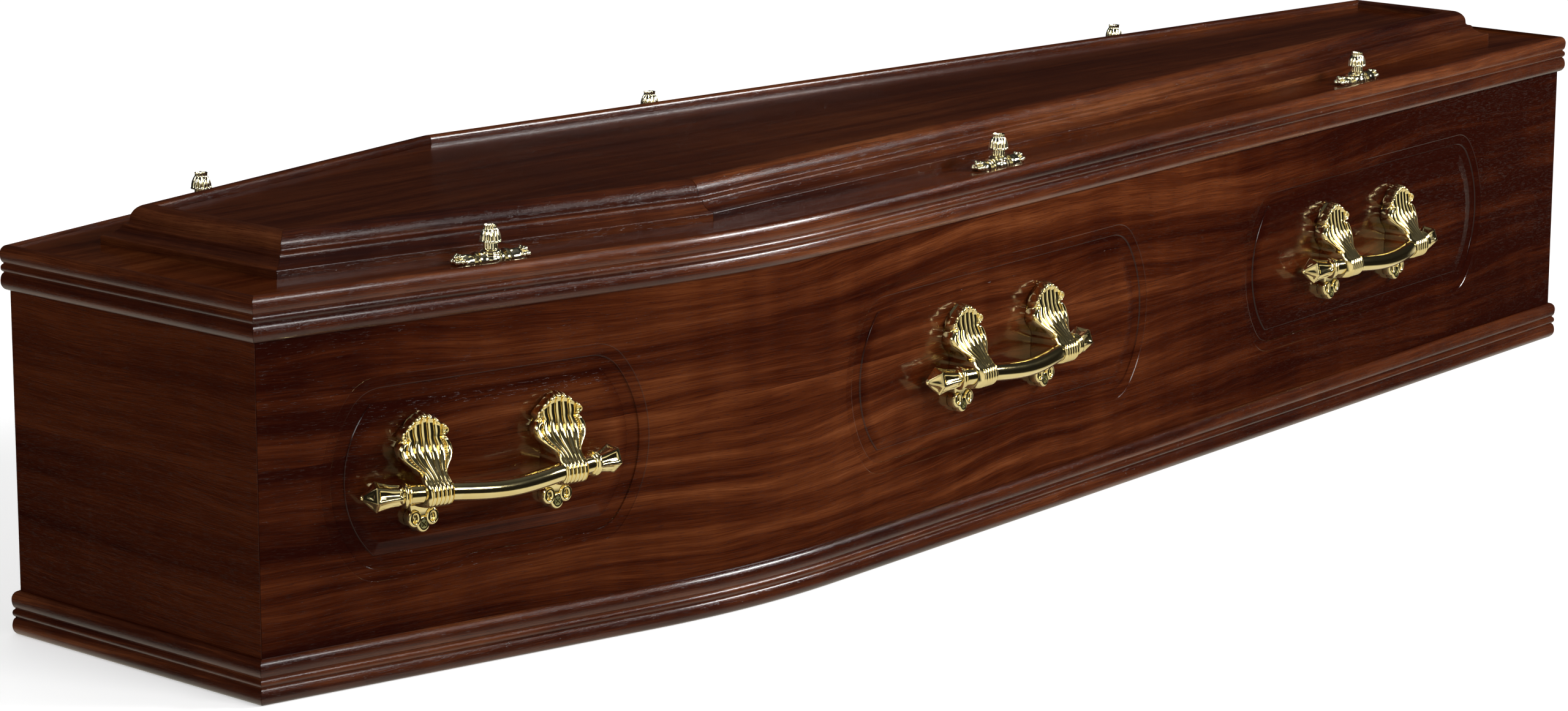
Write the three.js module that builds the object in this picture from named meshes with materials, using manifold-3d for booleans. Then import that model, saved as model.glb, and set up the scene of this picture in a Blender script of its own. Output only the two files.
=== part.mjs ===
// A raised-lid coffin with bar handles and wreath holders, in millimetres.
// +Z is up, the head end is at -X, the foot end at +X, and it stands on Z = 0.

import * as THREE from 'three';
import * as BufferGeometryUtils from 'three/addons/utils/BufferGeometryUtils.js';
import Module from 'manifold-3d';

const wasm = await Module();
wasm.setup();

// Body, over the outer faces of its boards
const bodyLength = 1918;
const headWidth = 308;
const shoulderWidth = 503; // where the straight sides would meet
const footWidth = 283;
const shoulderFromHead = 487;
const shoulderRadius = 800;
const shoulderSteps = 5;
const wallHeight = 320;
const wallThickness = 16;
const floorThickness = 18;
const fitGap = 0.3; // between pieces that fit or meet

// Lid
const lidThickness = 16;
const sideLedge = 55; // from the body's outer face to the raised frame
const endLedge = 63;
const frameRise = 7.6; // height of the frame's nose
const frameWidth = 32; // from the nose to the crest
const crestHeight = 33.4;
const frameNoseRound = 1.6;
const bandWidth = 13.4; // of the hollow band behind the nose
const bandRise = 6.4;
const bandHollowAt = 0.55; // where the band is most hollow, as a share of its width
const bandHollowRise = 0.25; // how far it has risen there, as a share of its rise
const filletWidth = 3; // of the step between the band and the ovolo
const filletRise = 3.4;
const filletLean = 0.8;
const ovoloWidth = 12.8;
const ovoloHeight = 12.7;
const ovoloDegrees = [18, 38, 58, 76];
const frameInnerFall = 5; // width of the rounded inner face
const innerRoundAt = 0.55; // shares of that face's width and height where it turns down
const innerRoundFall = 0.25;
const innerLean = 0.4;
const innerFootRise = 1.5;
const panelRecess = 7.4; // below the crest
const panelThickness = 12;
const rebateWidth = 12;

// Reeded moulding, the same round the base and round the lid
const mouldingHeight = 38.6;
const mouldingThickness = 6;
const mouldingRoot = 0.9; // thickness left at the top and bottom edge
const reedHalfHeight = 7.5;
const smallReedHalfHeight = 3.4;
const smallReedThickness = 5.7;
const coveThickness = 3.5;
const lidMouldingDrop = 20; // of the lid moulding below the lid board

// Routed panels on the sides
const panelsFromHead = [216, 856]; // middles of the first two panels
const lastPanelFromFoot = 405;
const panelCentreHeight = 171.5;
const panelHalfHeight = 76;
const panelBow = 34; // of each bowed end
const shortPanelHalf = 118; // half the straight edge of the panel by the head
const longPanelHalf = 199;
const coveLip = 10; // width of the shallow cove outside the channel
const coveDepth = 0.9;
const channelDepth = 2.2;
const channelWidth = 12.5;
const fieldStep = 1.1; // depth of the bevel at the channel
const bevelWidth = 11;
const roundedCut = 15; // how far the rounded corners reach
const sharpCut = 2;
const cutterClear = 1; // how far the cutter stands out of the face

// Handles, three a side
const handlesFromHead = [212, 847]; // middles of the first two handles
const lastHandleFromFoot = 421;
const handleHeight = 161.5; // of the bar's axis at the clasps
const barRadius = 8.2;
const barStandOff = 35.5; // of the bar's axis in the middle
const barBow = 25; // from the middle to the tips
const barDroop = 4.2; // of the middle below the clasps
const barHalfLength = 126;
const claspSpacing = 132;
const barSides = 8;
const collarRadius = 11;
const collarFrom = 88.5; // from the middle of the bar
const collarWidth = 6;
const finialNeckRadius = 9;
const finialRadius = 13;
const finialFlare = 1.6; // power of the curve from the neck to the widest place
const finialFlareAt = 0.55; // share of that curve where it has one more facet
const finialWidestFromTip = 10.5;
const finialTipRadius = 1.6;

// Handle plates
const claspWidth = 27;
const claspRadius = 12;
const claspGroove = 1.6;
const claspDegrees = [-60, -20, 20, 60];
const boreClearance = 0.5;
const boreOverrun = 6; // of the bore past each side of the clasp
const shellTop = 61; // above the bar's axis
const shellHalfWidth = 26;
const shellTopHalfWidth = 23;
const shellWidestHeight = 32;
const shellShoulderFall = 17; // of the top edge towards the sides
const shellLobeRise = 2.5;
const shellThickness = 8;
const shellBelly = 3.5; // how much thicker the shell is where it is widest
const shellCrown = 0.35; // share of its thickness lost at the sides
const shellFlute = 1.3;
const shellLobes = 5;
const waistHalfWidth = 12.5;
const waistHeight = 17;
const waistStandOff = 0.72; // of the waist's front, as a share of the bar's own
const waistCrown = 0.2;
const strapBottom = 16; // below the bar's axis
const tabBottom = 39;
const tabTop = 12;
const tabLobeRadius = 8.5;
const tabEndRadius = 8;
const tabLobeFrom = 0.3; // where each side lobe's arc starts and ends, in half turns from level
const tabLobeTo = 0.28;
const tabEndFrom = 0.1;
const tabThickness = 6;
const tabHalfWidth = 13;

// Wreath holders, three a side
const holdersFromHead = { left: [235, 830], right: [236, 871] }; // set by hand, so the sides differ
const lastHolderFromFoot = { left: 418, right: 402 };
const holderInset = 20; // from the body's outer face to the holder's axis
const holderHalfLength = 37.5;
const holderArmRadius = 7.5;
const holderArmHeight = 8.6;
const holderSwell = 1.2; // of the middle of each arm
const holderRingRadius = 9;
const holderRingX = 14.5;
const holderRingWidth = 2.2;
const holderBall = 8.4;
const holderBallAt = 6; // of the ball's widest place from the end
const holderTipHalf = 3.8; // half-width and height of the flat tip
const holderTipHeight = 5.2;
const bossRadius = 9.2;
const bossSpread = 1; // how much wider the boss is at its foot
const bossTop = 9.5;
const bossSides = 8;
const stemRadius = 6.1;
const stemTop = 15.6;
const cupRadius = 9.4;
const cupNeckRadius = 5.6;
const cupLipRadius = 5.9;
const cupTop = 30;
const cupWidestAt = 0.16; // heights of the cup's widest and narrowest place, as shares of the cup
const cupNeckAt = 0.8;
const cupWall = 1.3;
const cupDepth = 9;
const cupSeat = 6; // depth of the stem's spigot in the boss
const spigotRadius = 4;
const cupSides = 8;

// Places worked out from the sizes above

const headX = -bodyLength / 2;
const footX = bodyLength / 2;
const headPoint = new THREE.Vector2(headX, headWidth / 2);
const shoulderPoint = new THREE.Vector2(headX + shoulderFromHead, shoulderWidth / 2);
const footPoint = new THREE.Vector2(footX, footWidth / 2);
const lidBottom = wallHeight;
const lidTop = lidBottom + lidThickness;
const lidMouldingBottom = lidBottom - lidMouldingDrop;
const panelTop = crestHeight - panelRecess;
const alongBody = (fromHead, lastFromFoot) => [
  ...fromHead.map((distance) => headX + distance),
  footX - lastFromFoot,
];
const panelX = alongBody(panelsFromHead, lastPanelFromFoot);
const handleX = alongBody(handlesFromHead, lastHandleFromFoot);

// Looks

const veneer = { color: 0x4a1d12, roughness: 0.22, metalness: 0 };
const moulding = { color: 0x54230f, roughness: 0.26, metalness: 0 };
const bareBoard = { color: 0xb58a5e, roughness: 0.7, metalness: 0 };
const brass = { color: 0xd8b555, roughness: 0.12, metalness: 1 };
const paleBrass = { color: 0xe2cb8a, roughness: 0.12, metalness: 1 };

const coffin = new THREE.Group();

// Meshes

function named(name, geometry, look) {
  const mesh = new THREE.Mesh(geometry, new THREE.MeshStandardMaterial(look));
  mesh.name = name;
  return mesh;
}

function signedVolume(points, faces) {
  let six = 0;
  for (const [a, b, c] of faces) {
    const cross = new THREE.Vector3().crossVectors(points[b], points[c]);
    six += points[a].dot(cross);
  }
  return six / 6;
}

// A closed body from points and faces that agree in their sense, turned to face outwards.
function closedBody(points, faces) {
  const turned = signedVolume(points, faces) < 0 ? faces.map(([a, b, c]) => [a, c, b]) : faces;
  const geometry = new THREE.BufferGeometry();
  geometry.setAttribute('position', new THREE.Float32BufferAttribute(points.flatMap((p) => p.toArray()), 3));
  geometry.setIndex(turned.flat());
  return geometry;
}

function capFaces(outline) {
  const sense = Math.sign(THREE.ShapeUtils.area(outline));
  const faces = THREE.ShapeUtils.triangulateShape(outline.slice(), []);
  return faces.map(([a, b, c]) => {
    const area = THREE.ShapeUtils.area([outline[a], outline[b], outline[c]]);
    return Math.sign(area) === sense ? [a, b, c] : [a, c, b];
  });
}

// Joins rings of points, ring by ring, and closes the two ends with the faces of a flat outline.
function loft(rings, outline) {
  const count = rings[0].length;
  const faces = [];
  for (let ring = 0; ring < rings.length - 1; ring += 1) {
    for (let i = 0; i < count; i += 1) {
      const next = (i + 1) % count;
      const a = ring * count + i;
      const b = ring * count + next;
      faces.push([a, b, b + count], [a, b + count, a + count]);
    }
  }
  const last = (rings.length - 1) * count;
  for (const [a, b, c] of capFaces(outline)) {
    faces.push([a, c, b], [last + a, last + b, last + c]);
  }
  return closedBody(rings.flat(), faces);
}

function toManifold(geometry) {
  const bare = geometry.clone();
  bare.deleteAttribute('normal');
  bare.deleteAttribute('uv');
  const merged = BufferGeometryUtils.mergeVertices(bare, 1e-4);
  const vertProperties = new Float32Array(merged.attributes.position.array);
  const triVerts = new Uint32Array(merged.index.array);
  return new wasm.Manifold(new wasm.Mesh({ numProp: 3, vertProperties, triVerts }));
}

function fromManifold(solid) {
  const mesh = solid.getMesh();
  const geometry = new THREE.BufferGeometry();
  geometry.setAttribute('position', new THREE.BufferAttribute(new Float32Array(mesh.vertProperties), 3));
  geometry.setIndex(new THREE.BufferAttribute(new Uint32Array(mesh.triVerts), 1));
  return geometry;
}

// The plan of the coffin: `out` moves a line outwards from the body's outer face

function movedLine(from, to, out) {
  const direction = to.clone().sub(from).normalize();
  const normal = new THREE.Vector2(-direction.y, direction.x);
  return { start: from.clone().addScaledVector(normal, out), direction, normal };
}

function meeting(one, other) {
  const between = other.start.clone().sub(one.start);
  const along = between.cross(other.direction) / one.direction.cross(other.direction);
  return one.start.clone().addScaledVector(one.direction, along);
}

function atX(line, x) {
  const along = (x - line.start.x) / line.direction.x;
  return line.start.clone().addScaledVector(line.direction, along);
}

function sideLines(out) {
  return [movedLine(headPoint, shoulderPoint, out), movedLine(shoulderPoint, footPoint, out)];
}

// The left side's corners at the head, the shoulder and the foot, as if it were not bent round.
function sharpCorners(out, endOut) {
  const [upper, lower] = sideLines(out);
  return [atX(upper, headX - endOut), meeting(upper, lower), atX(lower, footX + endOut)];
}

// The left side from head to foot, bent round at the shoulder, its two ends held back by `trim`.
function leftSide(out, trim = 0) {
  const [upper, lower] = sideLines(out);
  const [centreUpper, centreLower] = sideLines(-shoulderRadius);
  const centre = meeting(centreUpper, centreLower);
  const first = upper.normal.angle();
  const last = lower.normal.angle();
  const points = [atX(upper, headX - out).addScaledVector(upper.direction, trim)];
  for (let step = 0; step <= shoulderSteps; step += 1) {
    const angle = first + ((last - first) * step) / shoulderSteps;
    const reach = shoulderRadius + out;
    points.push(new THREE.Vector2(centre.x + reach * Math.cos(angle), centre.y + reach * Math.sin(angle)));
  }
  points.push(atX(lower, footX + out).addScaledVector(lower.direction, -trim));
  return points;
}

function wholeOutline(leftPoints) {
  const right = leftPoints.map((p) => new THREE.Vector2(p.x, -p.y));
  return [...right, ...leftPoints.slice().reverse()];
}

// A board of even thickness, cut to a plan outline.
function board(outline, bottom, thickness) {
  const options = { depth: thickness, bevelEnabled: false };
  const geometry = new THREE.ExtrudeGeometry(new THREE.Shape(outline), options);
  return geometry.translate(0, 0, bottom);
}

// A profile of (out, z) points swept along a path that depends on how far out a point lies.
function sweepInPlan(profile, pathAt) {
  const paths = profile.map((p) => pathAt(p.x));
  const stationAt = (j) => profile.map((p, i) => new THREE.Vector3(paths[i][j].x, paths[i][j].y, p.y));
  return loft(paths[0].map((_, j) => stationAt(j)), profile);
}

function mirrored(path) {
  return path.map((p) => new THREE.Vector2(p.x, -p.y));
}

// The path across an end, from the right corner to the left one.
function acrossEnd(corner) {
  return [new THREE.Vector2(corner.x, -corner.y), corner.clone()];
}

// Four lengths round the coffin with mitred corners: left, right, head and foot.
function fourSided(profile, names, look) {
  const left = (out) => leftSide(out, fitGap);
  const head = (out) => acrossEnd(leftSide(out)[0]);
  const foot = (out) => acrossEnd(leftSide(out).at(-1));
  return [
    named(names.left, sweepInPlan(profile, left), look),
    named(names.right, sweepInPlan(profile, (out) => mirrored(left(out))), look),
    named(names.head, sweepInPlan(profile, head), look),
    named(names.foot, sweepInPlan(profile, foot), look),
  ];
}

// Routed panels

// Points on a panel's outline, moved outwards by `out`, with its corners cut back by `cut`.
function panelOutline(half, out, cut) {
  const radius = (panelHalfHeight ** 2 + panelBow ** 2) / (2 * panelBow);
  const centre = half + panelBow - radius;
  const reach = radius + out;
  const height = panelHalfHeight + out;
  const corner = new THREE.Vector2(centre + Math.sqrt(reach ** 2 - height ** 2), height);
  const cornerAngle = Math.asin(height / reach);
  const cutAngle = cornerAngle - cut / reach;
  const onEnd = (angle) => new THREE.Vector2(centre + reach * Math.cos(angle), reach * Math.sin(angle));
  const before = new THREE.Vector2(corner.x - cut, height);
  const bend = new THREE.QuadraticBezierCurve(before, corner, onEnd(cutAngle)).getPoints(1);
  const end = [1, 0, -1].map((share) => onEnd((cutAngle * share) / 2));
  const lowerBend = bend.map((p) => new THREE.Vector2(p.x, -p.y)).reverse();
  const right = [...bend, ...end, ...lowerBend];
  const left = right.map((p) => new THREE.Vector2(-p.x, -p.y));
  return [...right, ...left];
}

// The cutter of one panel's channel, in the face's own plane: X along, Y up, Z outwards.
function panelCutter(half) {
  const inner = channelWidth + bevelWidth;
  const section = [
    [coveLip, cutterClear, roundedCut],
    [coveLip, 0, roundedCut],
    [0, -coveDepth, roundedCut],
    [0, -channelDepth, roundedCut],
    [-channelWidth, -channelDepth, sharpCut],
    [-channelWidth, -fieldStep, sharpCut],
    [-inner, 0, sharpCut],
    [-inner, cutterClear, sharpCut],
  ];
  const loops = section.map(([out, height, cut]) =>
    panelOutline(half, out, cut).map((p) => new THREE.Vector3(p.x, p.y, height)),
  );
  const count = loops[0].length;
  const faces = [];
  for (let loop = 0; loop < loops.length; loop += 1) {
    const other = (loop + 1) % loops.length;
    for (let i = 0; i < count; i += 1) {
      const next = (i + 1) % count;
      const [a, b] = [loop * count + i, loop * count + next];
      const [c, d] = [other * count + next, other * count + i];
      faces.push([a, b, c], [a, c, d]);
    }
  }
  return closedBody(loops.flat(), faces);
}

// Where a thing stands on a side's outer face: its place there, and how far it is turned.
function placeOnSide(x, right, out) {
  const [upper, lower] = sideLines(out);
  const line = x < shoulderPoint.x ? upper : lower;
  const point = atX(line, x);
  const slope = line.direction.angle();
  return right
    ? { x: point.x, y: -point.y, turn: -slope }
    : { x: point.x, y: point.y, turn: Math.PI + slope };
}

// The section of a wall board, from the floor's underside to just below the lid.
function wallProfile() {
  const top = wallHeight - fitGap;
  return [
    new THREE.Vector2(-wallThickness, 0),
    new THREE.Vector2(0, 0),
    new THREE.Vector2(0, top),
    new THREE.Vector2(-wallThickness, top),
  ];
}

function routedSide(right) {
  const left = (out) => leftSide(out, fitGap);
  const plain = sweepInPlan(wallProfile(), right ? (out) => mirrored(left(out)) : left);
  let solid = toManifold(plain);
  panelX.forEach((x, index) => {
    const place = placeOnSide(x, right, 0);
    const cutter = panelCutter(index === 0 ? shortPanelHalf : longPanelHalf);
    cutter.rotateX(Math.PI / 2);
    cutter.rotateZ(place.turn);
    cutter.translate(place.x, place.y, panelCentreHeight);
    solid = solid.subtract(toManifold(cutter));
  });
  return fromManifold(solid);
}

// Profiles

// Part of a half-round: degrees from the bottom to the top, its root and crest measured outwards.
function reed(centre, half, root, crest, degrees) {
  return degrees.map((degree) => {
    const angle = THREE.MathUtils.degToRad(degree);
    return new THREE.Vector2(root + (crest - root) * Math.cos(angle), centre + half * Math.sin(angle));
  });
}

function reededProfile(bottom) {
  const low = bottom + reedHalfHeight;
  const middle = bottom + mouldingHeight / 2;
  const high = bottom + mouldingHeight - reedHalfHeight;
  return [
    new THREE.Vector2(fitGap, bottom),
    ...reed(low, reedHalfHeight, mouldingRoot, mouldingThickness, [-90, -45, 0]),
    ...reed(low, reedHalfHeight, coveThickness, mouldingThickness, [55]),
    ...reed(middle, smallReedHalfHeight, coveThickness, smallReedThickness, [-70, 0, 70]),
    ...reed(high, reedHalfHeight, coveThickness, mouldingThickness, [-55]),
    ...reed(high, reedHalfHeight, mouldingRoot, mouldingThickness, [0, 45, 90]),
    new THREE.Vector2(fitGap, bottom + mouldingHeight),
  ];
}

// The raised frame: points run inwards from its nose, so `out` falls below minus the ledge.
function frameProfile() {
  const bandTop = frameRise + bandRise;
  const ovoloFoot = crestHeight - ovoloHeight;
  const inner = frameWidth + frameInnerFall;
  const points = [
    [0, 0],
    [0, frameRise - frameNoseRound],
    [frameNoseRound, frameRise],
    [bandWidth * bandHollowAt, frameRise + bandRise * bandHollowRise],
    [bandWidth, bandTop],
    [bandWidth + filletLean, bandTop + filletRise - filletLean],
    [bandWidth + filletWidth, bandTop + filletRise],
    [frameWidth - ovoloWidth, ovoloFoot],
  ];
  for (const degree of ovoloDegrees) {
    const angle = THREE.MathUtils.degToRad(degree);
    points.push([frameWidth - ovoloWidth * Math.cos(angle), ovoloFoot + ovoloHeight * Math.sin(angle)]);
  }
  points.push([frameWidth, crestHeight]);
  points.push([frameWidth + frameInnerFall * innerRoundAt, crestHeight - panelRecess * innerRoundFall]);
  points.push([inner - innerLean, panelTop + innerFootRise]);
  points.push([inner, panelTop - panelThickness]);
  points.push([inner + rebateWidth, panelTop - panelThickness - fitGap]);
  points.push([inner + rebateWidth, 0]);
  return points.map(([inwards, height]) => new THREE.Vector2(-inwards, lidTop + height));
}

// The left corners of a line of the frame, `out` counted from the frame's nose.
function frameCorners(out) {
  return sharpCorners(-sideLedge + out, -endLedge + out);
}

// A straight path shortened by the gap at both ends, where two lengths meet in a mitre.
function heldBack([start, end]) {
  const direction = end.clone().sub(start).normalize();
  return [start.clone().addScaledVector(direction, fitGap), end.clone().addScaledVector(direction, -fitGap)];
}

function raisedFrame() {
  const profile = frameProfile();
  const upper = (out) => heldBack(frameCorners(out).slice(0, 2));
  const lower = (out) => heldBack(frameCorners(out).slice(1, 3));
  const head = (out) => acrossEnd(frameCorners(out)[0]);
  const foot = (out) => acrossEnd(frameCorners(out)[2]);
  return [
    named('raised_frame_head', sweepInPlan(profile, head), moulding),
    named('raised_frame_foot', sweepInPlan(profile, foot), moulding),
    named('raised_frame_left_upper', sweepInPlan(profile, upper), moulding),
    named('raised_frame_left_lower', sweepInPlan(profile, lower), moulding),
    named('raised_frame_right_upper', sweepInPlan(profile, (out) => mirrored(upper(out))), moulding),
    named('raised_frame_right_lower', sweepInPlan(profile, (out) => mirrored(lower(out))), moulding),
  ];
}

// Handles, in a frame on the side's face: X along the face, -Y outwards, Z above the bar's clasps

const claspAt = claspSpacing / 2;
const boreReach = claspWidth / 2 + boreOverrun;
const boreStations = [claspAt - boreReach, claspAt + boreReach];

function barAxis(along) {
  const out = barStandOff - barBow * (along / barHalfLength) ** 2;
  const inside = Math.min(Math.abs(along) / claspAt, 1);
  return new THREE.Vector3(along, -out, -barDroop * (1 - inside ** 2));
}

// A ring of points square to the bar.
function barRing(along, radius, sides) {
  const step = 0.5;
  const tangent = barAxis(along + step).sub(barAxis(along - step)).normalize();
  const across = new THREE.Vector3().crossVectors(tangent, new THREE.Vector3(0, 0, 1)).normalize();
  const upwards = new THREE.Vector3().crossVectors(across, tangent);
  return Array.from({ length: sides }, (_, i) => {
    const angle = (2 * Math.PI * (i + 0.5)) / sides;
    return barAxis(along)
      .addScaledVector(across, radius * Math.cos(angle))
      .addScaledVector(upwards, radius * Math.sin(angle));
  });
}

function ringOutline(sides) {
  return Array.from({ length: sides }, (_, i) => {
    const angle = (2 * Math.PI * i) / sides;
    return new THREE.Vector2(Math.cos(angle), Math.sin(angle));
  });
}

function handleBar() {
  const collarTo = collarFrom + collarWidth;
  const widest = barHalfLength - finialWidestFromTip;
  const flare = (finialRadius - finialNeckRadius) * finialFlareAt ** finialFlare;
  const half = [
    ...boreStations.map((along) => [along, barRadius]),
    [collarFrom, barRadius],
    [collarFrom + collarWidth / 2, collarRadius],
    [collarTo, finialNeckRadius],
    [THREE.MathUtils.lerp(collarTo, widest, finialFlareAt), finialNeckRadius + flare],
    [widest, finialRadius],
    [barHalfLength, finialTipRadius],
  ];
  const stations = [...half.map(([along, radius]) => [-along, radius]).reverse(), [0, barRadius], ...half];
  const rings = stations.map(([along, radius]) => barRing(along, radius, barSides));
  return loft(rings, ringOutline(barSides));
}

// The bar's own path, a clearance larger, through one clasp.
function claspBore(side) {
  const rings = boreStations.map((along) => barRing(side * along, barRadius + boreClearance, barSides));
  return loft(rings, ringOutline(barSides));
}

// One casting: the fluted shell, the waist, and the ridged clasp that wraps the bar, from the bottom up.
function plateShell(side) {
  const columns = (shellLobes - 1) * 2;
  const axisOut = -barAxis(claspAt).y;
  const clasp = claspDegrees.map((degree) => {
    const angle = THREE.MathUtils.degToRad(degree);
    return {
      height: claspRadius * Math.sin(angle),
      half: claspWidth / 2,
      out: axisOut + claspRadius * Math.cos(angle),
      crown: 0,
      ridge: claspGroove / 2,
    };
  });
  const rows = [
    { height: -strapBottom, half: claspWidth / 2, out: tabThickness, crown: 0, ridge: 0 },
    ...clasp,
    {
      height: waistHeight,
      half: waistHalfWidth,
      out: axisOut * waistStandOff,
      crown: waistCrown,
      ridge: shellFlute,
    },
    {
      height: shellWidestHeight,
      half: shellHalfWidth,
      out: shellThickness + shellBelly,
      crown: shellCrown,
      ridge: shellFlute,
    },
    {
      height: shellTop,
      half: shellTopHalfWidth,
      out: shellThickness,
      crown: shellCrown,
      ridge: shellFlute,
      top: true,
    },
  ];
  const front = rows.map((row) =>
    Array.from({ length: columns + 1 }, (_, i) => {
      const share = (2 * i) / columns - 1;
      const raised = i % 2 === 0;
      const ridge = raised ? row.ridge : -row.ridge;
      const lobe = row.top && raised ? shellLobeRise : 0;
      const fall = row.top ? shellShoulderFall * share ** 2 : 0;
      const out = row.out * (1 - row.crown * share ** 2) + ridge;
      return new THREE.Vector3(side * claspAt + row.half * share, -out, row.height - fall + lobe);
    }),
  );
  const onFace = (p) => new THREE.Vector3(p.x, -fitGap, p.z);
  const rings = front.map((row) => [...row, onFace(row.at(-1)), onFace(row[0])]);
  const outline = rings[0].map((p) => new THREE.Vector2(p.x, p.y));
  return loft(rings, outline);
}

// The small tab below the clasp: two side lobes and a rounded end.
function plateTab(side) {
  const shape = new THREE.Shape();
  const lobeZ = -(tabTop + tabBottom) / 2;
  const endZ = -tabBottom + tabEndRadius;
  const lobeFrom = Math.PI * tabLobeFrom;
  const lobeTo = -Math.PI * tabLobeTo;
  const endFrom = -Math.PI * tabEndFrom;
  shape.moveTo(tabHalfWidth, -tabTop);
  shape.absarc(tabLobeRadius, lobeZ, tabLobeRadius, lobeFrom, lobeTo, true);
  shape.absarc(0, endZ, tabEndRadius, endFrom, -Math.PI - endFrom, true);
  shape.absarc(-tabLobeRadius, lobeZ, tabLobeRadius, -Math.PI - lobeTo, -Math.PI - lobeFrom, true);
  shape.lineTo(-tabHalfWidth, -tabTop);
  const tab = new THREE.ExtrudeGeometry(shape, {
    depth: tabThickness - fitGap,
    bevelEnabled: false,
    curveSegments: 2,
  });
  return tab.rotateX(Math.PI / 2).translate(side * claspAt, -fitGap, 0);
}

function handlePlate(side) {
  return fromManifold(
    toManifold(plateShell(side)).add(toManifold(plateTab(side))).subtract(toManifold(claspBore(side))),
  );
}

// Wreath holders, in a frame on the lid's ledge: X along the side, Z up

// Rings of half-round section along the base, with a ball at each end and a ring on each arm.
function holderBase() {
  const half = [
    [bossRadius / 2, holderArmRadius, holderArmHeight],
    [holderRingX - holderRingWidth, holderArmRadius, holderArmHeight - holderSwell],
    [holderRingX, holderRingRadius, holderArmHeight + holderSwell],
    [holderRingX + holderRingWidth, holderArmRadius, holderArmHeight - holderSwell],
    [holderHalfLength - holderBallAt, holderBall, holderArmHeight + holderSwell],
    [holderHalfLength, holderTipHalf, holderTipHeight],
  ];
  const stations = [...half.map(([x, w, h]) => [-x, w, h]).reverse(), ...half];
  const angles = [0, 0.25, 0.5, 0.75, 1].map((share) => Math.PI * share);
  const rings = stations.map(([x, width, height]) =>
    angles.map((angle) => new THREE.Vector3(x, width * Math.cos(angle), height * Math.sin(angle))),
  );
  const outline = angles.map((angle) => new THREE.Vector2(Math.cos(angle), Math.sin(angle)));
  const boss = new THREE.CylinderGeometry(bossRadius, bossRadius + bossSpread, bossTop, bossSides);
  boss.rotateX(Math.PI / 2).translate(0, 0, bossTop / 2);
  const wellRadius = spigotRadius + fitGap;
  const wellDepth = cupSeat + fitGap;
  const well = new THREE.CylinderGeometry(wellRadius, wellRadius, wellDepth * 2, bossSides);
  well.rotateX(Math.PI / 2).translate(0, 0, bossTop);
  return fromManifold(toManifold(loft(rings, outline)).add(toManifold(boss)).subtract(toManifold(well)));
}

// Stem and tulip cup, turned in one piece, open at the top.
function holderCup() {
  const rise = cupTop - stemTop;
  const profile = [
    [0, bossTop - cupSeat],
    [spigotRadius - fitGap, bossTop - cupSeat],
    [spigotRadius - fitGap, bossTop + fitGap],
    [stemRadius, bossTop + fitGap],
    [stemRadius, stemTop],
    [cupRadius, stemTop + rise * cupWidestAt],
    [cupNeckRadius, stemTop + rise * cupNeckAt],
    [cupLipRadius, cupTop],
    [cupLipRadius - cupWall, cupTop],
    [cupNeckRadius - cupWall, cupTop - cupDepth],
    [0, cupTop - cupDepth],
  ];
  const points = profile.map(([radius, height]) => new THREE.Vector2(radius, height));
  return new THREE.LatheGeometry(points, cupSides).rotateX(Math.PI / 2);
}

// Put together

function addBody() {
  const inside = -wallThickness - fitGap;
  const head = sweepInPlan(wallProfile(), (out) => acrossEnd(leftSide(out)[0]));
  const foot = sweepInPlan(wallProfile(), (out) => acrossEnd(leftSide(out).at(-1)));
  coffin.add(
    named('floor_board', board(wholeOutline(leftSide(inside)), 0, floorThickness), bareBoard),
    named('head_board', head, veneer),
    named('foot_board', foot, veneer),
    named('left_side_board', routedSide(false), veneer),
    named('right_side_board', routedSide(true), veneer),
  );
  const names = {
    left: 'base_moulding_left',
    right: 'base_moulding_right',
    head: 'base_moulding_head',
    foot: 'base_moulding_foot',
  };
  coffin.add(...fourSided(reededProfile(0), names, moulding));
}

function addLid() {
  const names = {
    left: 'lid_moulding_left',
    right: 'lid_moulding_right',
    head: 'lid_moulding_head',
    foot: 'lid_moulding_foot',
  };
  const panelInset = frameWidth + frameInnerFall + fitGap;
  const panelOutlinePoints = wholeOutline(frameCorners(-panelInset));
  coffin.add(
    named('lid_board', board(wholeOutline(leftSide(0)), lidBottom, lidThickness), veneer),
    ...fourSided(reededProfile(lidMouldingBottom), names, moulding),
    ...raisedFrame(),
    named(
      'raised_top_panel',
      board(panelOutlinePoints, lidTop + panelTop - panelThickness, panelThickness),
      veneer,
    ),
  );
}

function addHandle(x, right, number) {
  const side = right ? 'right' : 'left';
  const place = placeOnSide(x, right, 0);
  const handle = new THREE.Group();
  const headwards = right ? -1 : 1;
  handle.add(
    named(`handle_bar_${side}_${number}`, handleBar(), brass),
    named(`handle_plate_${side}_${number}_head`, handlePlate(headwards), brass),
    named(`handle_plate_${side}_${number}_foot`, handlePlate(-headwards), brass),
  );
  handle.position.set(place.x, place.y, handleHeight);
  handle.rotation.z = place.turn;
  coffin.add(handle);
}

function addHolder(x, right, number) {
  const side = right ? 'right' : 'left';
  const place = placeOnSide(x, right, -holderInset);
  const holder = new THREE.Group();
  holder.add(
    named(`wreath_holder_base_${side}_${number}`, holderBase(), paleBrass),
    named(`wreath_holder_cup_${side}_${number}`, holderCup(), paleBrass),
  );
  holder.position.set(place.x, place.y, lidTop + fitGap);
  holder.rotation.z = place.turn;
  coffin.add(holder);
}

addBody();
addLid();
for (const right of [false, true]) {
  handleX.forEach((x, index) => addHandle(x, right, index + 1));
  const side = right ? 'right' : 'left';
  const holderX = alongBody(holdersFromHead[side], lastHolderFromFoot[side]);
  holderX.forEach((x, index) => addHolder(x, right, index + 1));
}

export default coffin;
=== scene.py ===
"""A mahogany-veneered raised-lid coffin with cast brass handles and wreath holders."""

import math

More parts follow.
